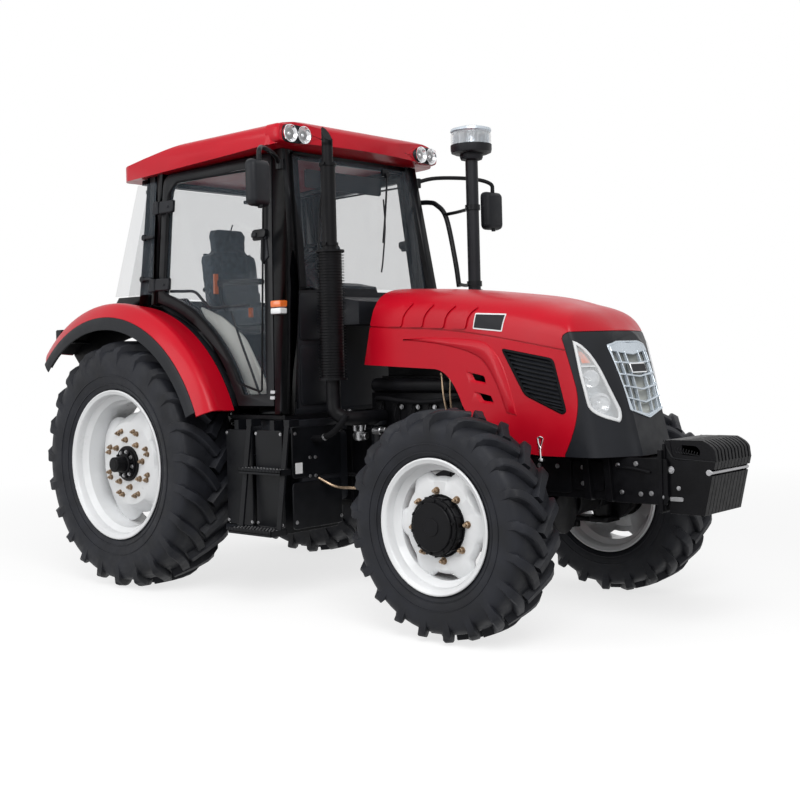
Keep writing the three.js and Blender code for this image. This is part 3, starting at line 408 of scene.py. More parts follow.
def apply_modifiers(made):
    """Replaces an object's mesh by what its modifiers make of it"""
    bpy.context.view_layer.update()
    shape = bpy.data.meshes.new_from_object(made.evaluated_get(bpy.context.evaluated_depsgraph_get()))
    made.modifiers.clear()
    made.data = shape
    return shape


def cut_with(made, cutter, operation="DIFFERENCE"):
    """Boolean with a cutting object, which is then deleted"""
    step = made.modifiers.new("cut", "BOOLEAN")
    step.operation = operation
    step.object = cutter
    step.solver = "MANIFOLD"
    apply_modifiers(made)
    bpy.data.objects.remove(cutter)


# ------------------------------------------------------------------ wheels

TYRES = {
    "front": dict(radius=558, half=157.5, flange=330, bead=305, rim_half=145, lugs=21, base=62, top=44,
                  deep=34),
    "rear": dict(radius=755, half=215, flange=457, bead=432, rim_half=195, lugs=23, base=76, top=52, deep=40),
}
WHEEL_SIDES = 84
WHEELBASE = 2481
FRONT_HUB, REAR_HUB = TYRES["front"]["radius"], TYRES["rear"]["radius"]  # heights of the wheel centres


def wheel_place(end, sign):
    """Local Z outboard along the wheel's axle"""
    low, high = box_mm(f"{end}_tyre_left")
    centre = (low + high) / 2
    faced = Matrix.Rotation(-sign * math.pi / 2, 4, "X")
    return at(centre.x, sign * centre.y, TYRES[end]["radius"]) @ faced


def tyre_wall(w):
    """Carcass outline from the tread's middle to the bead, as (radius, width) points"""
    tall = w["radius"] - w["flange"]
    base = w["radius"] - w["deep"]
    half = w["half"]
    points = [(base, 0), (base - 3, half * 0.42), (base - 12, half * 0.72), (base - 30, half * 0.90),
              (w["flange"] + tall * 0.58, half * 0.985), (w["flange"] + tall * 0.38, half * 0.99),
              (w["flange"] + tall * 0.18, half * 0.95), (w["flange"] + 14, w["rim_half"] - 6),
              (w["flange"] + 1, w["rim_half"] - 15)]
    return sampled(points, 4)


def lug_rings(w, first, hand, lead):
    """One tread bar, from its squared nose past the tread's middle to its stepped end over the shoulder.

    The bar leans less and less as it goes outward, and its nose leads when the tractor drives forward.
    """
    tall = w["radius"] - w["flange"]
    half = w["half"]
    low = w["radius"] - w["deep"] - 6
    high = w["radius"] - 0.5
    # Share of the half-width, then the bar's foot and its crown as (radius, width)
    steps = [
        (-0.07, (low, -0.08), (high, -0.05)),
        (0.12, (low, 0.13), (high, 0.13)),
        (0.30, (low - 1, 0.30), (high, 0.30)),
        (0.48, (low - 4, 0.47), (high - tall * 0.005, 0.48)),
        (0.66, (low - 12, 0.65), (high - tall * 0.025, 0.68)),
        (0.82, (low - 24, 0.80), (high - tall * 0.08, 0.86)),
        (0.93, (low - 34, 0.88), (high - tall * 0.15, 0.955)),
        (1.00, (low - 50, 0.93), (high - tall * 0.21, 0.995)),
        (1.08, (w["flange"] + tall * 0.60, 0.955), (w["flange"] + tall * 0.63, 1.0)),
        (1.16, (w["flange"] + tall * 0.49, 0.965), (w["flange"] + tall * 0.49, 0.995)),
    ]
    rings = []
    for share, (foot_r, foot_y), (crown_r, crown_y) in steps:
        inside = min(share, 1.0)
        lag = half * (1.22 * inside - 0.36 * inside * inside)
        slant = math.atan(1.22 - 0.72 * inside) if share < 0.9 else 0.0
        wide = 1.0 if share < 1.0 else 0.9
        ring = []
        for across, r, y in ((-w["base"] / 2, foot_r, foot_y), (-w["top"] / 2 - 3, crown_r - 6, crown_y),
                             (-w["top"] / 2 + 3, crown_r, crown_y), (w["top"] / 2 - 3, crown_r, crown_y),
                             (w["top"] / 2 + 3, crown_r - 6, crown_y), (w["base"] / 2, foot_r, foot_y)):
            a = lead * (first - (lag - across * wide * math.cos(slant)) / w["radius"])
            z = hand * (y * half + across * math.sin(slant) * 0.8)
            ring.append((r * math.cos(a), r * math.sin(a), z))
        rings.append(ring)
    return rings


def tyre(end, side, sign):
    """Carcass, moulded side rings and the tread's bars"""
    w = TYRES[end]
    place = wheel_place(end, sign)
    build = Piece(f"{end}_tyre_{side}_tread")
    outer = [*tyre_wall(w), (w["bead"] + 2, w["rim_half"] - 15)]
    profile = [*outer, *[(r, -y) for r, y in reversed(outer)]][:-1]
    build.turned(profile, WHEEL_SIDES, place)
    tall = w["radius"] - w["flange"]
    for up, out in ((0.30, 0.985), (0.12, 0.93)):
        # Rings moulded into each side wall
        r = w["flange"] + tall * up
        for hand in (1, -1):
            y = w["half"] * out
            build.turned([(r - 5, hand * (y - 6)), (r + 5, hand * (y - 6)), (r + 3, hand * (y + 2)),
                          (r - 3, hand * (y + 2))], WHEEL_SIDES, place)
    for i in range(w["lugs"]):
        for hand in (1, -1):
            first = 2 * math.pi * (i + (0.5 if hand > 0 else 0)) / w["lugs"]
            build.loft(lug_rings(w, first, hand, sign), place=place)
    build.done("tyre", f"{end}_wheel_{side}", (f"{end}_tyre_{side}",), angle=34)


def rim_barrel(w):
    """Closed section of the rim: two flanges, bead seats and a dropped centre"""
    half, flange, bead = w["rim_half"], w["flange"], w["bead"]
    outer = [(flange - 9, half), (flange - 2, half - 2), (flange, half - 7), (flange - 3, half - 12),
             (bead + 6, half - 13), (bead, half - 18), (bead - 2, half - 60), (bead - 32, half - 85)]
    inner = [(bead - 40, half - 85), (bead - 11, half - 56), (bead - 9, half - 18), (bead - 2, half - 8),
             (flange - 12, half - 2)]
    far_outer = [(r, -y) for r, y in reversed(outer)]
    far_inner = [(r, -y) for r, y in reversed(inner)]
    return [*outer, *far_outer, *far_inner, *inner]


def polar(radius_at, count=144):
    angles = [2 * math.pi * i / count for i in range(count)]
    return [(radius_at(a) * math.cos(a), radius_at(a) * math.sin(a)) for a in angles]


def dish(build, place, edge, rows):
    """A pressed wheel disc whose rows are (share of the way from flat radius to edge, flat radius, z)"""
    outline = polar(edge)
    rings = []
    for share, radius, z in rows:
        flat = circle(radius, len(outline))
        rings.append([(fx + (ex - fx) * share, fy + (ey - fy) * share, z)
                      for (ex, ey), (fx, fy) in zip(outline, flat)])
    build.loft(rings, loop=True, place=place)


def around(place, count, phase=0.0):
    """Places turned evenly round a wheel"""
    return [place @ Matrix.Rotation(phase + 2 * math.pi * i / count, 4, "Z") for i in range(count)]


def stud(build, spot, size, flange, tall, tip):
    """A wheel nut with its washer face, and the stud's end standing out of it"""
    build.drum(size * 1.28, 0, flange, spot, 20)
    build.drum(size, flange, tall, spot, 6, 1.5)
    build.drum(size * 0.52, tall, tip, spot, 12, 1)


def front_rim(side, sign):
    """Pressed disc with six bays at its edge, in the rim's barrel"""
    w = TYRES["front"]
    place = wheel_place("front", sign)
    build = Piece(f"front_rim_{side}_dish")
    build.turned(rim_barrel(w), WHEEL_SIDES, place)

    def edge(a):
        gap = 0.5 + 0.5 * math.cos(6 * (a - math.pi / 2))
        return 281 - 46 * min(1, gap * 1.5) ** 1.6

    dish(build, place, edge, ((1, 215, 38), (1, 215, 47), (0.93, 215, 52), (0.35, 215, 71), (0, 212, 78),
                              (0, 143, 80), (0, 143, 66), (0, 208, 66), (0.5, 215, 50)))
    build.done("rim_white", f"front_wheel_{side}", (f"front_rim_{side}",), bevel=2, angle=40)


def front_hub(side, sign):
    """Planetary hub with its flange, bolts and eight wheel nuts"""
    place = wheel_place("front", sign)
    build = Piece(f"front_hub_{side}")
    for radius, low, high, chamfer in ((152, 78, 87, 2), (143, 86, 124, 3), (137, 122, 139, 5),
                                       (118, 138, 150, 4), (44, 148, 154, 2), (130, -25, 72, 0)):
        build.drum(radius, low, high, place, 48, chamfer)
    for spot in around(place, 16):
        build.box(140, 148, -4, 4, 86, 124, spot)
    for spot in around(place, 10, 0.2):
        build.bolt(spot @ at(127, 0, 138), 7, 8)
    build.done("cast_black", f"front_wheel_{side}", bevel=1)
    nuts = Piece(f"front_nuts_{side}")
    for spot in around(place, 8, 0.1):
        stud(nuts, spot @ at(168, 0, 79), 14, 4, 20, 33)
    nuts.done("bronze_nuts", f"front_wheel_{side}")


def rear_rim(side, sign):
    """Pressed disc with four deep bays at its edge, in the rim's barrel"""
    w = TYRES["rear"]
    place = wheel_place("rear", sign)
    build = Piece(f"rear_rim_{side}_dish")
    build.turned(rim_barrel(w), WHEEL_SIDES, place)

    def edge(a):
        gap = 0.5 + 0.5 * math.cos(4 * (a - math.radians(15)))
        return 398 - 88 * min(1, gap * 1.35) ** 1.5

    dish(build, place, edge, ((1, 250, -14), (1, 250, -4), (0.95, 250, 2), (0.42, 250, 56), (0.05, 250, 84),
                              (0, 240, 87), (0, 104, 88), (0, 104, 72), (0, 238, 72), (0.4, 250, 42)))
    build.done("rim_white", f"rear_wheel_{side}", (f"rear_rim_{side}",), bevel=2, angle=40)


def rear_hub(side, sign):
    """Stepped hub with its wheel nuts and the disc's bolts"""
    place = wheel_place("rear", sign)
    build = Piece(f"rear_hub_{side}")
    for radius, low, high, chamfer in ((112, -100, 84, 0), (108, 84, 103, 3), (92, 100, 113, 4),
                                       (60, 110, 132, 5), (46, 130, 199, 4), (30, 196, 201, 1)):
        build.drum(radius, low, high, place, 40, chamfer)
    for spot in around(place, 8, 0.2):
        build.box(52, 90, -6, 6, 108, 124, spot)
    build.done("cast_black", f"rear_wheel_{side}", bevel=1)
    nuts = Piece(f"rear_nuts_{side}")
    for spot in around(place, 8, 0.12):
        stud(nuts, spot @ at(146, 0, 87), 15, 4, 22, 34)
    for spot in around(place, 8, math.radians(22.5)):
        for across in (-17, 17):
            stud(nuts, spot @ at(205, across, 86), 13, 4, 19, 30)
    nuts.done("bronze_nuts", f"rear_wheel_{side}")
    bolts = Piece(f"rear_hub_bolts_{side}")
    for spot in around(place, 8, 0.59):
        bolts.bolt(spot @ at(74, 0, 112), 9, 10)
    bolts.done("steel", f"rear_wheel_{side}")


for side_name, side_sign in SIDES:
    for wheel_end in TYRES:
        tyre(wheel_end, side_name, side_sign)
    front_rim(side_name, side_sign)
    front_hub(side_name, side_sign)
    rear_rim(side_name, side_sign)
    rear_hub(side_name, side_sign)


# ------------------------------------------------------------------ hood and nose

TOP_LINE = [(-940, 1762), (-673, 1749), (-387, 1729), (-31, 1687), (160, 1658), (316, 1626), (490, 1592),
            (586, 1550), (645, 1480)]
CORNER = [(-300, 352), (-180, 352), (-125, 338), (-78, 270), (-34, 190), (-10, 158), (0, 142)]
TIP = 645
HOOD_LOW = 780
HOOD_REAR = -1000
SHOULDER = 0.74  # share of the height at which the side starts to round over
CROWN_UP, CROWN_OUT = 3.6, 3.15  # powers of the rounded top


def value_at(curve, x):
    """Height of a curve of (x, y) points at x"""
    if x <= curve[0][0]:
        return curve[0][1]
    for (x0, y0), (x1, y1) in zip(curve, curve[1:]):
        if x <= x1:
            return y0 + (y1 - y0) * (x - x0) / (x1 - x0) if x1 > x0 else y1
    return curve[-1][1]


TOP_CURVE = sampled(TOP_LINE)
CORNER_CURVE = sampled(CORNER)


def nose_lean(x, z):
    """How far the nose leans forward at a height, more towards the tip"""
    t = max(0.0, min(1.0, (x - 20) / (TIP - 20)))
    d = z - 1100
    return t * t * (-0.25 * d if d < 0 else -0.17 * d - 0.00047 * d * d)


def hood_top(x):
    """Height of the hood's upright shape, before the nose leans"""
    return value_at(TOP_CURVE, min(x, TIP - 1))


def hood_half(x):
    """Half-width of the hood, rounded in towards the tip"""
    return value_at(CORNER_CURVE, max(-300, min(0, x - TIP)))


def upright_x(x, z):
    """Undoes the lean of the nose"""
    x0 = x
    for _ in range(12):
        x0 = x - nose_lean(x0, z)
    return x0


def side_y(x, z):
    """Half-width of the hood's surface at a point in side view, 0 outside it"""
    x0 = upright_x(x, z)
    if x0 > TIP:
        return 0.0
    q = (z - HOOD_LOW) / (hood_top(x0) - HOOD_LOW)
    if q >= 1:
        return 0.0
    u = max(0.0, (q - SHOULDER) / (1 - SHOULDER))
    return hood_half(x0) * (1 - u ** CROWN_UP) ** (1 / CROWN_OUT)


def front_x(y, z):
    """Forward face of the nose at a point in front view"""
    low, high = 0.0, 900.0
    for _ in range(22):
        x = (low + high) / 2
        if side_y(x, z) > abs(y):
            low = x
        else:
            high = x
    return low


def corner_point(along, z, out):
    """On the nose's slanting corner: along runs forward and inward, out is square to it"""
    s = math.sqrt(0.5)
    low, high = -160.0, 160.0
    for _ in range(22):
        d = (low + high) / 2
        x, y = 568 + s * (along + d), 292 + s * (d - along)
        if y < 0 or side_y(x, z) > y:
            low = d
        else:
            high = d
    d = low + out
    return 568 + s * (along + d), 292 + s * (d - along), z


def hood_rings(inset, stations=100):
    """Cross-sections of the whole hood, smaller by inset all round"""
    rings = []
    for i in range(stations + 1):
        t = 1 - (1 - i / stations) ** 2.1
        x0 = HOOD_REAR + (TIP - inset - HOOD_REAR) * t
        top = hood_top(x0) - inset - HOOD_LOW
        half = hood_half(x0 + inset * 0.3) - inset
        section = [(1.0, SHOULDER * k / 10) for k in range(10)]
        for k in range(23):
            a = math.pi / 2 * k / 22
            rise = SHOULDER + (1 - SHOULDER) * math.sin(a) ** (2 / CROWN_UP)
            section.append((math.cos(a) ** (2 / CROWN_OUT), rise))
        whole = section + [(-w, q) for w, q in reversed(section[:-1])]
        ring = []
        for w, q in whole:
            z = HOOD_LOW + q * top
            ring.append((x0 + nose_lean(x0, z), w * half, z))
        rings.append(ring)
    return rings


def side_prism(outline, y0=-600, y1=600):
    """A cutting block with an outline in side view"""
    return Piece("cutter").loft([beside(outline, y) for y in (y0, y1)]).as_object()


HOOD_OUTLINE = [(-932, 1329), (-420, 1300), *bezier((-420, 1300), (-310, 1290), (-236, 1108))[1:],
                *bezier((-236, 1108), (-120, 900), (246, 862)), (246, 862), (900, 862), (900, 1800),
                (-835, 1800), (-855, 1660)]


def fascia_outline(grow):
    """The dark nose in side view"""
    return [(394 - grow, 700), (394 - grow, 872),
            *bezier((394 - grow, 872), (500 - grow, 1060), (466 - grow, 1200))[1:],
            *bezier((466 - grow, 1200), (430 - grow, 1330), (392 - grow, 1436 + grow)),
            *bezier((392 - grow, 1436 + grow), (392 - grow, 1462 + grow), (430, 1470 + grow)),
            (430, 1470 + grow), (900, 1484 + grow), (900, 700)]


GRILLE = [(0, 1036), (150, 1078), (176, 1405), (100, 1424), (-100, 1424), (-176, 1405), (-150, 1078)]
HEADLIGHT = [(-122, 1428), *bezier((-122, 1428), (-30, 1400), (46, 1215), 8)[1:], (46, 1215), (104, 1092),
             *bezier((104, 1092), (116, 1040), (92, 1026), 5)[1:], (92, 1026), (28, 1046),
             *bezier((28, 1046), (-60, 1075), (-68, 1120), 6)[1:], (-68, 1120), (-96, 1254)]
VENT = [(30, 1394), (335, 1338), (404, 1084), (385, 1072), (165, 1165)]
SPLIT_LINE = [(-940, 1546), (-715, 1529), (-432, 1514), (-182, 1486), (92, 1441), (406, 1382), (480, 1366)]


def front_block(outline):
    """A cutting block with an outline in front view"""
    return Piece("cutter").loft([facing(outline, x) for x in (420, 900)]).as_object()


def corner_block(outline, sign):
    """A cutting block through the nose's corner"""
    s = math.sqrt(0.5)
    return Piece("cutter").loft([[(568 + s * (a + d), sign * (292 + s * (d - a)), z) for a, z in outline]
                                 for d in (-150, 150)]).as_object()


def hood_panels():
    """The red hood shell and the dark nose, cut from one curved solid"""
    whole = Piece("hood_shell_panels").loft(hood_rings(0)).as_object()
    cut_with(whole, Piece("cutter").loft(hood_rings(12)).as_object())
    nose = new_object("nose_fascia_shell", whole.data.copy())
    cut_with(whole, side_prism(HOOD_OUTLINE), "INTERSECT")
    cut_with(whole, side_prism(fascia_outline(1.5)))
    cut_with(whole, side_prism(rounded(grown(VENT, 6), 26)))
    smooth = sampled(SPLIT_LINE, 6)
    for side in (1, -1):
        low, high = sorted((side * 342, side * 380))
        cut_with(whole, side_prism(ribbon(smooth, 8), low, high))
        for quad in (((-215, 1284), (-90, 1259), (-77, 1212), (-186, 1232)),
                     ((-168, 1181), (-49, 1157), (-31, 1114), (-129, 1125))):
            # Scoops pressed into the side, deepest along their lower front edge
            x_mid = sum(p[0] for p in quad) / 4
            z_mid = sum(p[1] for p in quad) / 4
            rim = rounded(quad, 12)
            floor = [(x * 0.55 + x_mid * 0.45 + 20, z * 0.55 + z_mid * 0.45 + 4) for x, z in rim]
            block = Piece("cutter").loft([beside(grown(rim, 3), side * 356), beside(floor, side * 334)])
            cut_with(whole, block.as_object())
    finish_piece(whole, "body_red", "hood", ("hood_shell",), bevel=2.2, angle=28)
    cut_with(nose, side_prism([(-1100, 700), (380, 700), (380, 1900), (-1100, 1900)]))
    cut_with(nose, side_prism(fascia_outline(-1.5)), "INTERSECT")
    cut_with(nose, side_prism([(0, 862), (900, 862), (900, 1900), (0, 1900)]), "INTERSECT")
    cut_with(nose, front_block(rounded(GRILLE, 12)))
    for side in (1, -1):
        cut_with(nose, corner_block(HEADLIGHT, side))
    finish_piece(nose, "plastic_black", "hood", ("nose_fascia",), bevel=2.5, angle=28)


def skinned(build, outline, side, low, high, pitch=20):
    """A thin plate on the hood's curved side: outline in side view, from low to high above the surface"""
    flat = bmesh.new()
    flat.faces.new([flat.verts.new((x, 0, z)) for x, z in outline])
    bmesh.ops.triangulate(flat, faces=flat.faces[:])
    for axis, across in ((0, (1, 0, 0)), (2, (0, 0, 1))):
        values = [v.co[axis] for v in flat.verts]
        line = min(values) + pitch
        while line < max(values):
            spot = [0, 0, 0]
            spot[axis] = line
            parts = flat.verts[:] + flat.edges[:] + flat.faces[:]
            bmesh.ops.bisect_plane(flat, geom=parts, plane_co=spot, plane_no=across)
            line += pitch
    flat.verts.index_update()
    skins = []
    for by in (low, high):
        skins.append([build.mesh.verts.new((v.co.x, side * (side_y(v.co.x, v.co.z) + by), v.co.z))
                      for v in flat.verts])
    for face in flat.faces:
        loop = [v.index for v in face.verts]
        build.mesh.faces.new([skins[1][i] for i in loop])
        build.mesh.faces.new([skins[0][i] for i in reversed(loop)])
    for edge in flat.edges:
        if edge.is_boundary:
            a, b = (v.index for v in edge.verts)
            build.mesh.faces.new((skins[0][a], skins[0][b], skins[1][b], skins[1][a]))
    flat.free()


def hood_trim():
    """Raised side bands, gills and blank plates"""
    band = Piece("hood_side_band")
    upper = [(-640, 1458), (-470, 1442), (-300, 1414), (-162, 1376), (-80, 1322), (-9, 1210), (30, 1116),
             (48, 1070)]
    lower = [(114, 1058), (88, 1160), (37, 1306), (-22, 1390), (-100, 1440), (-300, 1462), (-470, 1470),
             (-640, 1466)]
    outline = sampled(upper, 3)
    outline += sampled(lower, 3)
    for side in (1, -1):
        band.loft([beside(outline, side * 346), beside(outline, side * 351),
                   beside(grown(outline, -7), side * 358)])
    band.done("body_red", "hood", angle=50)
    gills = Piece("hood_gills")
    for i in range(4):
        x = -738 + i * 148
        high, low = 1666 - i * 14, 1538 - i * 9
        hook = [(x, low), (x + 94, low - 5), (x + 106, low + 50), (x + 130, low + 84), (x + 166, high - 6),
                (x + 118, high), (x + 72, high - 22), (x + 40, low + 62)]
        for side in (1, -1):
            skinned(gills, rounded(hook, 14), side, -4, 9)
    gills.done("body_red", "hood", bevel=6, angle=50, segments=3)
    plate = Piece("hood_blank_plates")
    inner = Piece("hood_plate_faces")
    quad = rounded([(-142, 1587), (53, 1575), (31, 1484), (-155, 1505)], 6)
    for side in (1, -1):
        skinned(plate, quad, side, -3, 2.2)
        skinned(inner, grown(quad, -7), side, -1, 3.4)
    plate.done("rim_white", "hood", angle=50)
    inner.done("plastic_black", "hood", angle=50)


def hood_vents():
    """Louvred panel in each side, in a moulded rim"""
    rim = Piece("hood_vent_rims")
    slats = Piece("hood_vent_slats")
    back = Piece("hood_vent_backs")
    outline = rounded(grown(VENT, 5), 26)
    for side in (1, -1):
        rings = []
        for grow, y in ((2, 338), (0, 352), (-3, 356.5), (-9, 357.5), (-13, 353), (-14, 336)):
            rings.append(beside(grown(outline, grow), side * y))
        rim.loft(rings, loop=True)
        back.loft([beside(grown(outline, -8), side * y) for y in (322, 326)])
        for i in range(13):
            t = (i + 0.6) / 13.6
            # Each slat runs parallel to the panel's top edge between its slanting ends
            za = 1394 - t * 322
            if za > 1165:
                left = 30 + (1394 - za) / (1394 - 1165) * 135
            else:
                left = 165 + (1165 - za) / (1165 - 1072) * 220
            slope = (1338 - 1394) / (335 - 30)
            right = 335
            for _ in range(8):
                zr = za + slope * (right - left)
                right = 335 + (1338 - zr) / (1338 - 1084) * 69
            zr = za + slope * (right - left)
            if right - left < 30 or zr < 1082:
                continue
            ends = [(left + 2, za), (right - 2, zr)]
            rings = []
            for x, z in ends:
                rings.append([(x, side * 348, z - 8), (x, side * 349.5, z - 5), (x, side * 333, z + 7),
                              (x, side * 330, z + 5)])
            slats.loft(rings)
    rim.done("rubber_black", "hood", angle=50)
    slats.done("plastic_black", "hood", bevel=0.8)
    back.done("frame_black", "hood")


def grille():
    """A silver lattice of V bars that follows the nose, over a dark back"""
    outline = rounded(GRILLE, 12)
    frame_bar = Piece("grille_frame")

    def on_face(points, out):
        return [(front_x(y, z) + out, y, z) for y, z in points]

    rings = [on_face(grown(outline, grow), out) for grow, out in
             ((-1, -20), (-1, 3), (-3, 6), (-9, 6), (-11, 3), (-11, -20))]
    frame_bar.loft(rings, loop=True)
    top_bar = [(-168, 1398), (-100, 1416), (0, 1412), (100, 1416), (168, 1398), (166, 1372), (0, 1352),
               (-166, 1372)]
    frame_bar.loft([on_face(top_bar, -14), on_face(top_bar, 4), on_face(grown(top_bar, -3), 6.5)])
    frame_bar.done("grille_silver", "hood", ("grille",), bevel=0.8, angle=45)
    bars = Piece("grille_bars")

    def half_at(z):
        return 150 + (z - 1078) / (1405 - 1078) * 26

    for row_number in range(5):
        z = 1310 - row_number * 58
        drop = 10 + row_number * 6
        low = []
        for k in range(13):
            y = (k / 6 - 1) * (half_at(z) - 4)
            low.append((y, z - drop * (1 - abs(y) / half_at(z)) + 4))
        strip = low + [(y, zz + 9) for y, zz in reversed(low)]
        bars.loft([on_face(strip, -14), on_face(strip, 2), on_face(grown(strip, -1.5), 4)])
    for column in (-2, -1, 1, 2):
        points = []
        for i in range(10):
            z = 1372 - i * (1372 - 1070) / 9
            points.append((column / 2.75 * half_at(z), z))
        strip = [(y - 3.5, z) for y, z in points] + [(y + 3.5, z) for y, z in reversed(points)]
        bars.loft([on_face(strip, -14), on_face(strip, 0.5), on_face(grown(strip, -1), 2)])
    bars.done("grille_silver", "hood", bevel=0.6, angle=45)
    back = Piece("grille_back")
    back.loft([on_face(grown(outline, -6), -34), on_face(grown(outline, -6), -24)])
    back.done("trim_grey", "hood")
    badge = Piece("grille_badge")
    shape = round_rect(-72, 72, 1262, 1312, 8)
    badge.loft([on_face(shape, -8), on_face(shape, 8), on_face(grown(shape, -3), 11)])
    badge.done("chrome", "hood", bevel=1)
    face = Piece("grille_badge_face")
    shape = grown(shape, -6)
    face.loft([on_face(shape, 4), on_face(shape, 12)])
    face.done("plastic_black", "hood", bevel=0.8)


def corner_ring(outline, out, sign):
    """An outline laid on the nose's corner, out from its surface"""
    return [(x, sign * y, z) for x, y, z in (corner_point(a, z, out) for a, z in outline)]


def headlights():
    """Corner lamps: rim, bowl, two reflectors, amber patch, bar and lens"""
    for name, sign in SIDES:
        rim = Piece(f"headlight_rim_{name}")
        steps = ((0, -14), (0, 3), (-3, 6), (-12, 5), (-17, -2), (-17, -14))
        rim.loft([corner_ring(grown(HEADLIGHT, grow), out, sign) for grow, out in steps], loop=True)
        rim.done("rim_white", "hood", (f"headlight_{name}",), angle=50)
        bowl = Piece(f"headlight_bowl_{name}")
        outline = grown(HEADLIGHT, -14)
        bowl.loft([corner_ring(outline, out, sign) for out in (-58, -52)])
        bowl.done("grille_silver", "hood")
        lamp = Piece(f"headlight_reflectors_{name}")
        for along, z, size in ((-38, 1240, 40), (4, 1120, 48)):
            x, y, _ = corner_point(along, z, -24)
            place = at(x, sign * y, z) @ Matrix.Rotation(sign * math.radians(38), 4, "Z") @ spun("x")
            shape = [(4, -26), (size * 0.45, -22), (size * 0.8, -10), (size, 4), (size + 3, 4), (size + 3, 0),
                    (size * 0.84, -14), (size * 0.5, -27), (4, -30)]
            lamp.turned(shape, 32, place)
            lamp.ball((0, 0, -10), (size * 0.28, size * 0.28, 15), place, 16, 8)
        lamp.done("chrome", "hood", angle=50)
        amber = Piece(f"headlight_amber_{name}")
        patch = grown([(-104, 1392), (-60, 1362), (-26, 1312), (-82, 1312)], -4)
        amber.loft([corner_ring(patch, out, sign) for out in (-30, -10)])
        amber.done("amber_lens", "hood", bevel=2)
        bar = Piece(f"headlight_bar_{name}")
        strip = [(-92, 1306), (-10, 1304), (-8, 1296), (-94, 1298)]
        bar.loft([corner_ring(strip, out, sign) for out in (-30, -3)])
        bar.done("rim_white", "hood", bevel=1)
        lens = Piece(f"headlight_lens_{name}")
        outline = grown(HEADLIGHT, -15)
        lens.loft([corner_ring(outline, out, sign) for out in (-6, -2)])
        lens.done("lamp_lens", "hood")


hood_panels()
hood_trim()
hood_vents()
grille()
headlights()


# ------------------------------------------------------------------ cab

EAVE = 2548
ARC_X, ARC_Z = -2560, 715


def cab_side(x, z, out=0.0):
    """Distance from the middle of the cab's leaning side plane"""
    return 701.8 - 0.075 * x - 0.0862 * z + out


def side_rings(outline, outs, sign):
    """An outline in side view laid on the cab's side, one ring per (out, grow)"""
    return [[(x, sign * cab_side(x, z, out), z) for x, z in grown(outline, grow)] for out, grow in outs]


def arc(radius, start, end, steps):
    """Side view points on a circle about the wheel arch's centre, in degrees"""
    angles = [math.radians(start + (end - start) * i / steps) for i in range(steps + 1)]
    return [(ARC_X + radius * math.cos(a), ARC_Z + radius * math.sin(a)) for a in angles]


def swept(section, start, end, steps=56):
    """A strip of closed (radius, y) section carried round the wheel arch"""
    rings = []
    for i in range(steps + 1):
        a = math.radians(start + (end - start) * i / steps)
        rings.append([(ARC_X + r * math.cos(a), y, ARC_Z + r * math.sin(a)) for r, y in section])
    return rings


def fenders():
    """Curved fenders with liner, lip, stays and tail lamps, and the arch walls"""
    outer = sampled([(1012, 726), (1016, 760), (1024, 820), (1030, 868), (1024, 898), (1006, 918), (975, 938),
                     (944, 954)], 4)
    inner = [(r - 15, y - (0 if y < 860 else 9)) for r, y in reversed(outer)]
    crown = outer + inner
    lip = [(942, 955.5), (930, 961), (900, 966), (868, 967.5), (864, 962), (872, 955), (904, 951), (940, 946)]
    liner = [(994, 700), (998, 760), (1008, 860), (996, 890), (962, 922), (900, 944), (872, 950), (872, 944),
             (898, 936), (956, 914), (988, 884), (1000, 856), (990, 760), (986, 700)]
    for name, sign in SIDES:
        for part, section, slot, start, end in (("fender_crown", crown, "body_red", 21.5, 134),
                                                ("fender_liner", liner, "rubber_black", 23, 133),
                                                ("fender_edge", lip, "plastic_black", 23, 135)):
            build = Piece(f"{part}_{name}")
            build.loft([[(x, sign * y, z) for x, y, z in ring] for ring in swept(section, start, end)])
            gone = {"fender_crown": (f"fender_{name}",), "fender_edge": (f"fender_lip_{name}",)}.get(part, ())
            build.done(slot, replaces=gone, bevel=1.5, angle=40)
        wall = Piece(f"wheel_arch_wall_{name}")
        rings = []
        for i in range(37):
            degrees = 62 + 2 * i
            a = math.radians(degrees)
            inner = 784 + 88 * math.cos(math.radians(degrees - 27))  # just clear of the tyre
            rings.append([(ARC_X + r * math.cos(a), sign * y, ARC_Z + r * math.sin(a))
                          for r, y in ((inner, 704), (1000, 704), (1000, 714), (inner, 714))])
        wall.loft(rings)
        wall.done("cast_black", bevel=1)
        stay = Piece(f"fender_stays_{name}")
        for degrees in (60, 96, 122):
            a = math.radians(degrees)
            r = 978
            x, z = ARC_X + r * math.cos(a), ARC_Z + r * math.sin(a)
            stay.tube([(x, sign * 700, z - 30), (x, sign * 800, z - 22), (x, sign * 900, z - 30)], 11, 8, 4)
        stay.done("frame_black")
        tail = Piece(f"tail_lamp_body_{name}")
        a = math.radians(126)
        x, z = ARC_X + 1034 * math.cos(a), ARC_Z + 1034 * math.sin(a)
        tail.loft([facing(round_rect(770, 880, z - 30, z + 50, 12), x + dx, sign) for dx in (20, -38)])
        tail.done("plastic_black", bevel=3)
        for slot, low, high in (("red_lens", z - 22, z + 16), ("amber_lens", z + 18, z + 42)):
            lens = Piece(f"tail_lamp_{slot}_{name}")
            outline = round_rect(778, 872, low, high, 6)
            lens.loft([facing(grown(outline, grow), x + dx, sign)
                       for dx, grow in ((-30, 0), (-44, 0), (-48, -4))])
            lens.done(slot, angle=60)


def roof_block(outline, axis, low, high):
    """A cutting block whose outline is seen along the given axis"""
    order = {"x": (2, 0, 1), "y": (0, 2, 1), "z": (0, 1, 2)}[axis]
    rings = [[[(a, b, c)[i] for i in order] for a, b in outline] for c in (low, high)]
    return Piece("cutter").loft(rings).as_object()


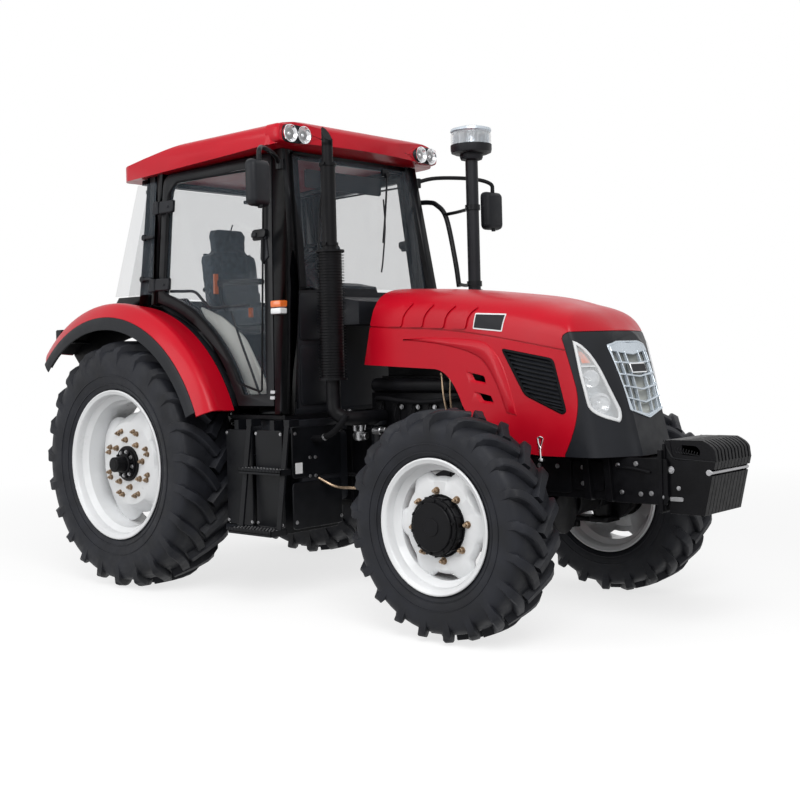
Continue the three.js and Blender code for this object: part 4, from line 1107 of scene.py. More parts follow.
def roof_panel():
    """The roof, cut from three outlines that cross"""
    side = [(-2712, EAVE - 22), (-2722, EAVE + 52), (-2714, EAVE + 66),
            *bezier((-2714, EAVE + 66), (-2400, EAVE + 104), (-1990, EAVE + 164), 12)[1:],
            *bezier((-1990, EAVE + 164), (-1600, EAVE + 190), (-1262, EAVE + 174), 12),
            *bezier((-1262, EAVE + 174), (-1215, EAVE + 160), (-1205, EAVE + 120), 5), (-1205, EAVE + 120),
            (-1200, EAVE + 52), (-1290, EAVE + 29), (-2000, EAVE - 2)]
    half = [(686, EAVE - 68), (706, EAVE + 34), (704, EAVE + 58), (694, EAVE + 84), (688, EAVE + 118),
            *bezier((688, EAVE + 118), (682, EAVE + 144), (640, EAVE + 152), 5)[1:],
            *bezier((640, EAVE + 152), (400, EAVE + 190), (0, EAVE + 190), 10)]
    front = half + [(0, EAVE + 190)] + [(-y, z) for y, z in reversed(half)]
    half = [(-1200, 0), *bezier((-1200, 0), (-1200, 300), (-1244, 620), 10)[1:],
            *bezier((-1244, 620), (-1258, 700), (-1340, 704), 6), (-1340, 704), (-2000, 706), (-2640, 686),
            *bezier((-2640, 686), (-2716, 668), (-2722, 600), 5)[1:], (-2722, 590)]
    plan = half + [(x, -y) for x, y in reversed(half[1:])]
    whole = roof_block(side, "y", -800, 800)
    whole.name = "roof_panel"
    cut_with(whole, roof_block(front, "x", -2800, -1100), "INTERSECT")
    cut_with(whole, roof_block(plan, "z", 2400, 2900), "INTERSECT")
    rise = 0.036
    under = [(x, EAVE + 1 + rise * (x + 1990)) for x in (-2800, -1100)]
    cut_with(whole, roof_block([(-2800, 2300), (-1100, 2300), under[1], under[0]], "y", -900, 900))
    finish_piece(whole, "body_red", "chassis", ("roof",), bevel=5, angle=24, segments=3)


def roof_lamps():
    """Two work lamps in a pod at each front corner of the roof"""
    for name, sign in SIDES:
        pod = Piece(f"roof_lamp_pod_{name}")
        rings = []
        for x, by in ((-1330, 0), (-1262, 0), (-1236, -4), (-1228, -10)):
            outline = [(696, 2636), (690, 2676), (664, 2696), (560, 2698), (470, 2680), (400, 2650),
                       (330, 2632), (400, 2618), (470, 2592), (560, 2580), (664, 2586), (690, 2602)]
            shape = sampled(outline + outline[:1], 3)[:-1]
            rings.append([(x + 26 * (1 - y / 696), sign * y, z) for y, z in grown(shape, by)])
        pod.loft(rings)
        pod.done("body_red", bevel=2, angle=40)
        hole = Piece(f"roof_lamp_recess_{name}")
        outline = [(664, 2636), (655, 2676), (610, 2690), (510, 2688), (462, 2668), (440, 2638), (462, 2606),
                   (510, 2590), (610, 2586), (655, 2598)]
        shape = sampled(outline + outline[:1], 3)[:-1]
        rings = []
        for by, dx in ((0, 0), (-2, 3), (-7, 2), (-9, -6)):
            rings.append([(-1226 + dx + 26 * (1 - y / 696), sign * y, z) for y, z in grown(shape, by)])
        hole.loft(rings)
        hole.done("plastic_black", angle=50)
        for i, y in enumerate((611, 510)):
            place = at(-1229 + i * 5, sign * y, 2638, "x")
            bowl = Piece(f"roof_lamp_dish_{name}_{i}")
            bowl.turned([(5, -6), (24, 0), (40, 10), (46, 22), (50, 23), (51, 16), (48, -4), (40, -14),
                         (5, -16)], 36, place)
            bowl.ball((0, 0, 2), (13, 13, 10), place, 16, 8)
            bowl.done("chrome", angle=50)
            lens = Piece(f"roof_lamp_lens_{name}_{i}")
            lens.ball((0, 0, 14), (46, 46, 11), place, 32, 8)
            lens.done("lamp_lens", angle=60)


def cab_side_details():
    """Door hinges, handle, rail and seal, arch panel, window fittings and turn lamps"""
    for name, sign in SIDES:
        hinges = Piece(f"door_hinge_blocks_{name}")
        leaves = Piece(f"door_hinge_leaves_{name}")
        for x, z in ((-2221, 2324), (-2226, 1845)):
            hinges.loft(side_rings(round_rect(x - 146, x - 108, z - 40, z + 42, 8),
                                   ((2, 0), (24, 0), (28, -4)), sign))
            hinges.drum(13, -38, 40, at(-2334, sign * cab_side(-2334, z, 16), z), 20, 3)
            leaves.loft(side_rings(round_rect(x - 92, x + 30, z - 36, z + 40, 12),
                                   ((2, 0), (20, 0), (26, -6)), sign))
            faced = Matrix.Rotation(-sign * math.pi / 2, 4, "X")
            leaves.bolt(at(x - 10, sign * cab_side(x, z, 24), z) @ faced, 8, 7)
        hinges.done("plastic_black", bevel=1.5)
        leaves.done("plastic_black", f"door_{name}_body", bevel=1.5)
        handle = Piece(f"door_handle_{name}")
        knob_x, knob_z = -1469, 2086
        handle.loft(side_rings(round_rect(knob_x - 42, knob_x + 64, knob_z - 30, knob_z + 22, 12),
                               ((1, 0), (12, 0), (16, -4)), sign))
        handle.loft(side_rings(round_rect(knob_x - 30, knob_x + 6, knob_z - 14, knob_z + 16, 8),
                               ((14, 0), (34, 0), (40, -6)), sign))
        handle.loft(side_rings([(knob_x + 20, knob_z - 26), (knob_x + 60, knob_z - 26),
                                (knob_x + 84, knob_z - 128), (knob_x + 44, knob_z - 168),
                                (knob_x + 22, knob_z - 140)],
                                ((-2, 0), (7, 0), (9, -3)), sign))
        handle.done("plastic_black", f"door_{name}_body", bevel=2)
        rail = Piece(f"door_inside_rail_{name}")
        rail.tube([(x, sign * cab_side(x, z, -22), z) for x, z in
                   ((-2225, 1805), (-2120, 1800), (-2010, 1790), (-1930, 1730), (-1860, 1690), (-1700, 1690),
                    (-1560, 1690))],
                  9, 10, 5)
        rail.tube([(x, sign * cab_side(x, z, -16), z) for x, z in
                   ((-1690, 1660), (-1600, 1480), (-1500, 1300), (-1420, 1150))], 7, 10, 4)
        rail.drum(15, -8, 8, at(-1420, sign * cab_side(-1420, 1150, -14), 1150, "y"), 16, 2)
        rail.done("plastic_black", f"door_{name}_body")
        seal = Piece(f"door_seal_{name}")
        glass = [(-1382, 1190), (-1440, 2470), (-2170, 2470), (-2238, 2400), (-2240, 1800),
                 *arc(1122, 72, 28, 16)]
        outline = rounded(glass, 24)
        rings = side_rings(outline, ((16, 6), (22, 6), (24, 2), (22, -4), (16, -6)), sign)
        seal.loft(rings, loop=True)
        seal.done("rubber_black", f"door_{name}_body", angle=60)
        panel = Piece(f"inner_arch_panel_{name}")
        outline = [(-2001, 1706), (-1796, 1628), (-1608, 1502), (-1443, 1270), (-1392, 1176), (-1577, 1174),
                   (-1746, 1403), (-1932, 1616)]
        panel.loft(side_rings(rounded(outline, 40), ((-62, 0), (-52, 0), (-50, -3)), sign))
        panel.done("trim_grey", angle=50)
        quarter = Piece(f"quarter_window_fittings_{name}")
        for z in (2150, 1890):
            quarter.drum(20, -4, 16, at(-2450, sign * cab_side(-2450, z, 18), z, "y"), 20, 3)
            quarter.loft(side_rings(round_rect(-2452, -2360, z - 9, z + 9, 6), ((4, 0), (18, 0), (20, -2)),
                                    sign))
        quarter.done("plastic_black", bevel=1.5)
        lamp = Piece(f"turn_lamp_body_{name}")
        lamp.loft([facing(round_rect(566, 698, 1622, 1706, 14), x, sign) for x in (-1320, -1248)])
        lamp.done("plastic_black", bevel=5)
        for slot, low, high in (("amber_lens", 1664, 1702), ("rim_white", 1626, 1660)):
            lens = Piece(f"turn_lamp_{slot}_{name}")
            lens.loft([facing(grown(round_rect(574, 704, low, high, 8), grow), x, sign)
                       for x, grow in ((-1310, 0), (-1240, 0), (-1234, -5))])
            lens.done(slot, angle=50)
        foot = Piece(f"post_foot_hinge_{name}")
        for z in (1150, 1182):
            foot.loft(side_rings(round_rect(-1296, -1262, z, z + 18, 4), ((30, 0), (40, 0)), sign))
        foot.done("steel", bevel=1)


def windscreen_details():
    """Wipers, side seals, sun visor and the panels under the glass"""
    def glass_x(y, z):
        lean = (-1328 + 1216) / (EAVE - 1775)
        bow = 60 * (1 - (y / 600) ** 2)
        return -1216 + lean * (z - 1775) + bow

    wiper = Piece("wiper")
    wiper.drum(16, -14, 14, at(glass_x(230, 2480) + 16, 230, 2486, "x"), 20, 3)
    wiper.tube([(glass_x(y, z) + 22, y, z) for y, z in ((230, 2486), (215, 2440), (160, 2250), (100, 2060))],
               6, 8, 6)
    wiper.tube([(glass_x(y, z) + 12, y, z) for y, z in ((170, 2330), (150, 2160), (90, 1960), (60, 1880))],
               5, 8, 6)
    wiper.box(-8, 8, -30, 30, -20, 20, at(glass_x(230, 2500) + 4, 230, 2500))
    wiper.tube([(glass_x(y, z) + 20, y, z) for y, z in ((-300, 2480), (-330, 2380), (-380, 2180))], 6, 8, 6)
    wiper.tube([(glass_x(y, z) + 12, y, z) for y, z in ((-345, 2330), (-390, 2150), (-420, 1980),
                                                        (-424, 1860))], 5, 8, 6)
    wiper.drum(16, -14, 14, at(glass_x(-300, 2480) + 16, -300, 2486, "x"), 20, 3)
    wiper.done("frame_black")
    seal = Piece("windscreen_seal")
    for side in (1, -1):
        seal.loft([[(x + dx, side * (y - dy), z) for dx, dy in ((-12, 0), (16, 0), (18, 44), (-10, 44))]
                   for x, y, z in ((-1216, 572, 1775), (-1328, 508, EAVE))])
    seal.done("rubber_black", bevel=3)
    visor = Piece("sun_visor")
    visor.loft([facing(round_rect(-330, 330, 2380, 2490, 18), -1392 + dx) for dx in (0, -10)])
    visor.done("plastic_black", bevel=3)
    cowl = Piece("cowl_panels")
    for y0, y1 in ((-560, -345), (345, 560)):
        for z0, z1, out in ((1480, 1745, -1229), (1110, 1450, -1230)):
            outline = soft_rect(y0, y1, z0, z1, 26)
            cowl.loft([facing(grown(outline, grow), x) for x, grow in ((-1237, 0), (out, 0), (out + 2, -3))])
    cowl.done("plastic_black", angle=50)


def interior():
    """Seat arms and belt, and the steering wheel"""
    seat = Piece("seat_trim")
    for y in (-255, 255):
        side = 1 if y > 0 else -1
        seat.loft([beside(rounded([(-2290, 1850), (-2230, 1850), (-1880, 1840), (-1880, 1876), (-2230, 1890),
                                   (-2290, 1890)], 14), y + side * dy) for dy in (-24, 24)])
        seat.tube([(-2270, y, 1860), (-2270, y, 1760), (-2240, y - side * 20, 1690)], 14, 10, 5)
    seat.done("plastic_black", bevel=5)
    tags = Piece("seat_belt_tags")
    tags.box(-2296, -2278, -300, -268, 1800, 1930)
    tags.box(-2010, -1990, -258, -232, 1640, 1700)
    tags.done("amber_lens", bevel=3)
    wheel = Piece("steering_wheel_rim")
    place = at(-1720, 0, 1985) @ Matrix.Rotation(math.radians(-28), 4, "Y")
    ring = [(198 + 14 * c, 14 * s) for c, s in circle(1, 12)]
    wheel.turned(ring, 48, place)
    wheel.drum(42, -22, 14, place, 24, 6)
    for i in range(3):
        a = 2 * math.pi * i / 3
        wheel.tube([place @ Vector((r * math.cos(a), r * math.sin(a), z)) for r, z in
                    ((30, 0), (110, -8), (190, 0))], 9, 8, 5)
    wheel.done("rubber_black")


fenders()
roof_panel()
roof_lamps()
cab_side_details()
windscreen_details()
interior()


# ------------------------------------------------------------------ exhaust, intake and mirrors


def exhaust():
    """Upright pipe with clamps, inside a perforated guard"""
    x, y = -985, -550
    build = Piece("exhaust_pipework")
    build.drum(64, 1262, 1960, at(x, y, 0), 32)
    build.drum(41, 1940, 2450, at(x, y, 0), 28, 3)
    build.drum(31, 2440, 2560, at(x, y, 0), 28, 2)
    rings = []
    for k in range(9):
        t = k / 8
        rings.append([(x + 31 * c, y + 31 * s, 2540 + t * (110 - 52 * (1 + c) * t))
                      for c, s in circle(1, 28)])
    build.loft(rings)
    build.tube([(x, y, 1280), (x, y, 1150), (x + 10, y, 1078), (x + 50, y + 40, 1040),
                (x + 90, y + 150, 1036), (x + 90, y + 300, 1036)], 40, 20, 8)
    for z in (1250, 1955):
        build.collar(60, 80, z, z + 12, 40, at(x, y, 0))
    for z in (1990, 2430):
        build.collar(40, 48, z, z + 18, 32, at(x, y, 0))
        build.box(40, 66, -6, 6, z + 2, z + 16, at(x, y, 0, "z", -1.2))
    build.done("cast_black", replaces=("exhaust",), bevel=1.5)
    guard = Piece("exhaust_guard")
    rows, cols = 44, 30
    radius = 77
    make = guard.mesh
    grid = [[make.verts.new((x + radius * math.cos(2 * math.pi * k / cols),
                             y + radius * math.sin(2 * math.pi * k / cols),
                             1262 + 694 * i / rows)) for k in range(cols)] for i in range(rows + 1)]
    faces = []
    for i in range(rows):
        for k in range(cols):
            faces.append(make.faces.new((grid[i][k], grid[i][(k + 1) % cols], grid[i + 1][(k + 1) % cols],
                                         grid[i + 1][k])))
    bmesh.ops.inset_individual(make, faces=faces, thickness=3.6)
    bmesh.ops.delete(make, geom=faces, context="FACES")
    made = guard.done("frame_black", angle=60)
    thick = made.modifiers.new("sheet", "SOLIDIFY")
    thick.thickness = 0.003
    thick.offset = -1


def air_intake():
    """Upright intake with its clear bowl, cap and rail"""
    x, y = -800, 500
    build = Piece("air_intake_stem")
    build.drum(38, 1250, 2560, at(x, y, 0), 28, 2)
    build.turned([(36, 2545), (64, 2552), (70, 2566), (70, 2590), (36, 2596)], 36, at(x, y, 0))
    build.turned([(30, 2590), (100, 2585), (121, 2594), (125, 2612), (125, 2640), (30, 2640)], 48,
                 at(x, y, 0))
    build.turned([(36, 1740), (48, 1742), (48, 1764), (36, 1766)], 28, at(x, y, 0))
    build.tube([(x, y, 1300), (x, y, 1160), (x + 40, y - 60, 1090), (x + 120, y - 160, 1082),
                (x + 220, y - 250, 1082)], 38, 20, 8)
    build.done("plastic_black", replaces=("air_intake",), angle=40)
    bowl = Piece("air_intake_bowl")
    bowl.turned([(20, 2634), (122, 2634), (123, 2700), (116, 2722), (20, 2724)], 48, at(x, y, 0))
    bowl.done("lamp_lens", angle=40)
    cap = Piece("air_intake_cap")
    cap.turned([(8, 2716), (118, 2714), (125, 2722), (122, 2736), (90, 2746), (8, 2752)], 48, at(x, y, 0))
    cap.turned([(8, 2640), (46, 2640), (42, 2716), (8, 2716)], 28, at(x, y, 0))
    for i in range(12):
        cap.box(44, 112, -2, 2, 2640, 2700, at(x, y, 0, "z", i * math.pi / 6))
    cap.done("grille_silver", angle=40)
    rail = Piece("intake_rail")
    rail.tube([(-1328, 640, 2358), (-1262, 640, 2352), (-1203, 640, 2332), (-1123, 640, 2242),
               (-1059, 640, 1971), (-1032, 640, 1799)], 16, 12, 6)
    rail.tube([(-1140, 640, 2262), (-1000, 600, 2262), (-830, 520, 2262)], 11, 10, 5)
    rail.tube([(-1034, 640, 1815), (-930, 580, 1800), (-830, 510, 1800)], 11, 10, 5)
    for z in (2262, 1800):
        rail.collar(37, 46, z - 16, z + 16, 28, at(x, y, 0))
    rail.done("frame_black")


def mirrors():
    """Mirror arms, shells and glass"""
    for name, sign in SIDES:
        arm = Piece(f"mirror_arm_{name}")
        arm.tube([(-1338, sign * 585, 2480), (-1250, sign * 700, 2512), (-1120, sign * 900, 2512),
                  (-1040, sign * 1000, 2480), (-1032, sign * 1012, 2420)], 13, 12, 8)
        arm.tube([(-1032, sign * 1012, 2440), (-1032, sign * 1012, 2170)], 13, 12, 2)
        arm.drum(22, -30, 30, at(-1320, sign * 600, 2478), 20, 3)
        arm.done("frame_black")
        shell = Piece(f"mirror_shell_{name}")
        rings = []
        for x, grow in ((-1066, -4), (-1064, 0), (-1046, 2), (-1022, -4), (-1010, -16), (-1004, -30)):
            rings.append([(x + 0.12 * (y - 1012), sign * y, z)
                          for y, z in grown(round_rect(1012 - 77, 1012 + 77, 2181, 2425, 34, 5), grow)])
        shell.loft(rings)
        shell.done("plastic_black", replaces=(f"mirror_{name}",), angle=50)
        face = Piece(f"mirror_glass_{name}")
        outline = round_rect(1012 - 66, 1012 + 66, 2194, 2412, 26, 5)
        face.loft([[(x + 0.12 * (y - 1012), sign * y, z) for y, z in outline] for x in (-1064, -1068.5)])
        face.done("mirror_face", bevel=1)


exhaust()
air_intake()
mirrors()


# ------------------------------------------------------------------ weights and front frame


def front_weights():
    """Suitcase weights side by side, ribbed over the front top edge, with a slot for the locking rod"""
    low_outline = [(865, 600), (1042, 600), (1084, 786), (1056, 789), (1060, 812), (1093, 815), (1102, 853),
                   (900, 853), (880, 880), (868, 946), (845, 946), (845, 700)]
    rib_outline = [(930, 850), (1104, 850), (1098, 900),
                   *bezier((1098, 900), (1090, 925), (1036, 948), 5)[1:], (1036, 948), (930, 948)]
    plates = Piece("front_weight_stack")
    count = 11
    pitch = 374 / count
    for i in range(count):
        y = -187 + pitch * i
        plates.loft([beside(low_outline, yy) for yy in (y + 0.6, y + pitch - 0.6)])
        plates.loft([beside(rib_outline, yy) for yy in (y + 5, y + pitch - 5)])
    plates.box(868, 1010, -181, 181, 852, 947)
    plates.box(1000, 1070, -178, 178, 852, 905)
    plates.done("cast_black", replaces=("front_weights",), bevel=2.5, angle=30)
    trim = Piece("front_weight_edges")
    for side in (1, -1):
        line = smooth_path([(838, side * 186, 946), (872, side * 186, 880), (900, side * 186, 862),
                            (1000, side * 186, 856), (1100, side * 186, 852)], 5)
        trim.tube(line, 3.2, 8, straight=True)
        for i in range(9):
            x = 900 + i * 14
            trim.tube([(x, side * 182, 918 - i * 3), (x - 4, side * 184, 900 - i * 2.5),
                       (x + 6, side * 182, 886 - i)],
                      2, 6, 3)
    trim.done("frame_black")
    slot = Piece("front_weight_handles")
    for side in (1, -1):
        outline = rounded([(886, 882), (1020, 874), (1026, 900), (1004, 922), (890, 926)], 12)
        slot.loft([beside(outline, side * y) for y in (179, 182)])
    slot.done("rubber_black")
    metal = Piece("front_weight_rods")
    metal.drum(9, -189, 189, at(1078, 0, 801, "y"), 16, 2)
    for side in (1, -1):
        metal.drum(15, 184, 190, at(1068, 0, 801, "y") @ flipped(side), 16, 2)
        spot = flipped(side)
        for x, z, size in ((876, 806, 13), (914, 722, 8)):
            metal.bolt(at(x, side * 188, z, "y") @ spot, size, 9)
        metal.loft([beside(round_rect(866, 938, 660, 680, 8), side * y) for y in (186, 192)])
    metal.done("steel", bevel=1)


def front_frame_details():
    """Bracket plates, bolts and the hood's latch on the front frame"""
    plate = Piece("front_frame_plates")
    for side in (1, -1):
        for x0, x1, z0, z1 in ((560, 866, 640, 858), (-20, 330, 668, 842), (340, 520, 690, 830)):
            outline = soft_rect(x0, x1, z0, z1, 22)
            plate.loft([beside(outline, side * y) for y in (190, 207)])
        for x in (440, 560):
            web = rounded([(x - 14, 648), (x + 22, 640), (x + 4, 856), (x - 30, 856)], 8)
            plate.loft([beside(web, side * y) for y in (196, 232)])
        plate.side_box(side, 820, 842, 150, 216, 604, 900)
        plate.tube([(600, side * 214, 812), (700, side * 216, 806), (780, side * 214, 792)], 7, 8, 4)
    plate.box(838, 850, -200, 200, 610, 930)
    plate.box(470, 560, -150, 150, 846, 862)
    plate.done("cast_black", bevel=2)
    bolts = Piece("front_frame_bolts")
    for side in (1, -1):
        spot = flipped(side)
        for x, z in ((724, 686), (780, 692), (836, 678), (620, 690), (600, 820), (700, 830), (60, 706),
                     (140, 706), (60, 800), (140, 800), (250, 800), (400, 720), (400, 800)):
            bolts.bolt(at(x, side * 207, z, "y") @ spot, 9, 8)
    bolts.done("steel")
    latch = Piece("hood_latches")
    for side in (1, -1):
        y = side * 352
        latch.tube([(250, y, 838), (252, y + side * 6, 880), (252, y + side * 7, 905)], 5.5, 8, 4)
        for dx in (-16, 16):
            latch.tube([(252, y + side * 6, 900), (252 + dx * 0.6, y + side * 6, 925),
                        (252 + dx, y + side * 3, 952)], 4.5, 8, 4)
        latch.tube([(236, y + side * 3, 951), (252, y + side * 5, 956), (268, y + side * 3, 951)], 4.5, 8, 4)
        latch.drum(9, -6, 6, at(252, y + side * 6, 902, "y"), 14, 2)
        latch.box(240, 264, *sorted((y - side * 20, y + side * 3)), 836, 850)
    latch.done("chrome")


# ------------------------------------------------------------------ engine bay


def engine_details():
    """Engine with its head, manifolds, pumps and filters, standing open behind the front wheels"""
    cast = Piece("engine_castings")
    cast.box(-985, -262, -150, 150, 1165, 1262)
    cast.box(-965, -282, -118, 118, 1262, 1352)
    for i in range(6):
        x = -930 + i * 118
        cast.drum(34, 1350, 1372, at(x, 0, 0), 20, 4)
        for side in (1, -1):
            cast.side_box(side, x - 30, x + 26, 224, 232, 640, 1120)
            cast.drum(26, 0, 90, outward(x, 148, 1210, side), 16, 4)
    for side in (1, -1):
        cast.drum(40, -960, -300, at(0, side * 240, 1212, "x"), 20, 8)
        cast.side_box(side, -990, -260, 224, 240, 600, 632)
    cast.box(-940, -300, -170, 170, 500, 562)
    cast.drum(96, -262, -232, at(0, 0, 760, "x"), 32, 6)
    cast.drum(58, -262, -226, at(0, -150, 1010, "x"), 28, 4)
    cast.drum(70, -264, -226, at(0, 0, 1130, "x"), 28, 4)
    cast.done("cast_black", bevel=3)
    shroud = Piece("fan_shroud")
    shroud.turned([(236, -44), (262, -44), (262, -120), (250, -128), (236, -120)], 40, at(0, 0, 1130, "x"))
    for i in range(8):
        blade = at(-86, 0, 1130, "x", i * math.pi / 4) @ Matrix.Rotation(0.5, 4, "X")
        shroud.box(30, 222, -26, 26, -3, 3, blade)
    shroud.drum(52, -120, -70, at(0, 0, 1130, "x"), 24, 6)
    shroud.box(-60, -40, -270, 270, 862, 1396)
    shroud.done("plastic_black", bevel=1.5)
    cans = Piece("engine_filters")
    for x, z0, z1, r in ((-700, 800, 965, 46), (-585, 800, 965, 46), (-900, 860, 990, 40)):
        cans.drum(r, z0, z1, at(x, -284, 0), 28, 10)
        cans.drum(r + 8, z1 - 2, z1 + 24, at(x, -284, 0), 28, 4)
    cans.drum(54, -440, -290, at(0, -290, 1000, "x"), 28, 8)
    cans.drum(60, -290, -278, at(0, -290, 1000, "x"), 28, 2)
    cans.box(-560, -320, 236, 330, 900, 1060)
    cans.drum(58, -900, -640, at(0, 300, 1010, "x"), 28, 12)
    cans.done("frame_black", bevel=2)
    pipes = Piece("engine_hoses")
    for side in (-1, 1):
        pipes.tube([(-1358, side * 560, 1075), (-1330, side * 560, 1010), (-1240, side * 560, 948),
                    (-1120, side * 560, 925), (-1002, side * 560, 954), (-930, side * 555, 1010),
                    (-892, side * 545, 1062)],
                   17, 12, 7)
        pipes.tube([(-1000, side * 180, 1120), (-900, side * 262, 1140), (-600, side * 268, 1120),
                    (-300, side * 262, 1150), (-150, side * 240, 1180), (-60, side * 200, 1240)], 12, 12, 6)
        pipes.tube([(-560, side * 262, 700), (-700, side * 276, 680), (-980, side * 270, 690),
                    (-1180, side * 262, 700)],
                   12, 10, 6)
        pipes.tube([(-300, side * 240, 860), (-240, side * 300, 900), (-150, side * 300, 980),
                    (-100, side * 262, 1020)],
                   15, 10, 6)
    for i in range(6):
        x = -920 + i * 118
        pipes.tube([(x, -232, 1000), (x + 8, -262, 1050), (x + 10, -230, 1120), (x, -160, 1200)], 4.5, 8, 6)
    pipes.done("rubber_black")
    clamps = Piece("engine_fittings")
    for side in (-1, 1):
        for x, z, turn in ((-1185, 934, 0.35), (-1050, 936, -0.4)):
            ring = at(x, side * 560, z) @ Matrix.Rotation(turn, 4, "Y") @ spun("x")
            clamps.collar(17, 20, -6, 6, 24, ring)
            clamps.bolt(ring @ at(0, 24, 0, "x"), 5, 8)
        for x, y, z in ((-760, 238, 1090), (-640, 238, 1090), (-520, 238, 1090), (-880, 238, 760),
                        (-640, 238, 760), (-400, 238, 760), (-1150, 300, 1062), (-1110, 300, 1066)):
            clamps.bolt(outward(x, y, z, side), 10, 9)
    clamps.drum(30, 900, 952, at(-1030, -305, 0), 24, 5)
    clamps.drum(22, -56, 40, at(-1010, -305, 926, "x"), 20, 4)
    clamps.drum(15, 950, 1004, at(-1066, -300, 0), 16, 3)
    clamps.drum(16, 946, 992, at(-1018, -300, 0), 16, 3)
    clamps.tube([(-1018, -300, 985), (-1000, -302, 1010), (-985, -300, 990), (-990, -300, 960)], 5, 8, 5)
    clamps.drum(24, -910, -850, at(0, -310, 958, "x"), 20, 5)
    clamps.drum(13, -850, -820, at(0, -310, 966, "x"), 16, 3)
    clamps.done("steel", bevel=0.8)
    copper = Piece("fuel_pipe")
    copper.tube([(-1150, -520, 700), (-1120, -505, 682), (-1060, -470, 650), (-960, -450, 648),
                 (-860, -420, 652), (-700, -330, 664)], 8, 10, 6)
    copper.done("bronze_nuts")
    stick = Piece("dipsticks")
    for x, lean, top in ((-392, -22, 1262), (-359, 4, 1238)):
        stick.tube([(x, -290, 1060), (x + lean * 0.5, -303, 1160), (x + lean, -300, top)], 6, 10, 4)
        stick.ball((x + lean, -300, top + 10), (10, 10, 12), None, 14, 8)
    stick.done("bronze_nuts")


# ------------------------------------------------------------------ tanks, steps and labels


def tank_sides():
    """Battery box on the right and fuel tank on the left, with panels, straps, bolts and blank labels"""
    front = box_mm("battery_box")[1].x
    for name, sign in (("battery_box", -1), ("fuel_tank", 1)):
        detail = Piece(f"{name}_panels")
        for z0, z1 in ((430, 690), (712, 996)) if sign < 0 else ():
            detail.loft([facing(grown(soft_rect(340, 723, z0, z1, 24), grow), x, sign)
                         for x, grow in ((front - 4, 0), (front + 4, 0), (front + 6, -3))])
        for x0, x1 in ((-1650, -1430), (-1400, -1180)):
            outline = soft_rect(x0, x1, 440, 980, 26)
            detail.loft([beside(grown(outline, grow), sign * y)
                         for y, grow in ((752, 0), (764, 0), (767, -3))])
        for x in (-1560, -1260):
            detail.loft([facing(((280, 396), (764, 396), (764, 1034), (280, 1034)), x + dx, sign)
                         for dx in (-17, 17)])
        detail.done("plastic_black" if sign > 0 else "frame_black", bevel=3)
        bolts = Piece(f"{name}_bolts")
        if sign < 0:
            for y, z in ((548, 820), (590, 822), (548, 717), (590, 718), (350, 960), (700, 960), (350, 470),
                         (700, 470)):
                bolts.bolt(at(front + 5, sign * y, z, "x"), 8, 8)
        for x in (-1640, -1440, -1390, -1190):
            for z in (460, 960):
                bolts.bolt(outward(x, 766, z, sign), 7, 6)
        bolts.done("steel")
        tag = Piece(f"{name}_blank_label")
        x = front + 6 if sign < 0 else -1006
        y = 676 if sign < 0 else 600
        tag.loft([facing(round_rect(y - 27, y + 27, 738, 798, 4), x + dx, sign) for dx in (-3, 1.5)])
        tag.done("rim_white", bevel=0.5)
    cap = Piece("fuel_filler")
    cap.drum(48, 1026, 1044, at(-1080, 520, 0), 28, 3)
    cap.drum(42, 1042, 1066, at(-1080, 520, 0), 12, 4)
    cap.done("rubber_black", bevel=2)


def ladders():
    """Two sloping rails with an upper and a lower tread, on both sides of the cab"""
    for name, sign in SIDES:
        rails = Piece(f"ladder_rails_{name}")

        def rail_y(z):
            return sign * (770 + (1000 - z) * 0.14)

        for x in (-1440, -1130):
            rings = []
            for z in (1030, 1000, 470, 440):
                y = rail_y(z)
                rings.append([(x - 18, y - 7, z), (x + 18, y - 7, z), (x + 18, y + 7, z), (x - 18, y + 7, z)])
            rails.loft(rings)
            rails.side_box(sign, x - 22, x + 22, 700, 776, 1000, 1040)
        rails.done("frame_black", bevel=2)
        treads = Piece(f"ladder_treads_{name}")
        grips = Piece(f"ladder_grips_{name}")
        for z, deep in ((768, 85), (444, 120)):
            y0, y1 = sorted((rail_y(z) - sign * 40, rail_y(z) + sign * (deep - 40)))
            treads.box(-1456, -1114, y0, y1, z - 16, z - 10)
            treads.box(-1460, -1110, y0, y0 + 6, z - 26, z + 6)
            treads.box(-1460, -1110, y1 - 6, y1, z - 26, z + 6)
            for x in (-1460, -1116):
                treads.box(x, x + 6, y0, y1, z - 26, z + 6)
            for i in range(13):
                x = -1444 + i * 26
                treads.box(x, x + 7, y0, y1, z - 12, z + 3)
                for k in range(3):
                    y = y0 + (y1 - y0) * (k + 1) / 4
                    grips.drum(5, z + 1, z + 6, at(x + 3.5, y, 0), 8)
        treads.done("frame_black", bevel=1)
        grips.done("steel")


def cab_mounts_and_shade_sheets():
    """Floor edge, mounts and black shields that close the space between the cab and the gearbox, painted
    shade standing in for the shadow there
    """
    mounts_and_shade_sheets = Piece("cab_mounts_and_shade_sheets")
    for sign in (1, -1):
        mounts_and_shade_sheets.side_box(sign, -1700, -1240, 230, 690, 1034, 1058)
        for x in (-1300, -2050):
            mounts_and_shade_sheets.drum(44, 965, 1064, at(x, sign * 330, 0), 24, 10)
            mounts_and_shade_sheets.drum(60, 985, 1010, at(x, sign * 330, 0), 24, 4)
        mounts_and_shade_sheets.side_box(sign, -1240, -1224, 230, 700, 1000, 1062)
        # Side sheets along the gap under the cab: painted shade, dark plates where there is only shadow
        mounts_and_shade_sheets.side_box(sign, -2300, -1690, 228, 244, 560, 900)
    # Cross sheets across the same gap: painted shade as well, dark plates standing in for shadow
    for i in range(7):
        mounts_and_shade_sheets.box(-2200 + i * 170, -2186 + i * 170, -228, 228, 520, 940)
    mounts_and_shade_sheets.drum(150, -1010, -996, at(0, 0, 780, "x"), 32)
    mounts_and_shade_sheets.done("cast_black", bevel=3)


# ------------------------------------------------------------------ front axle


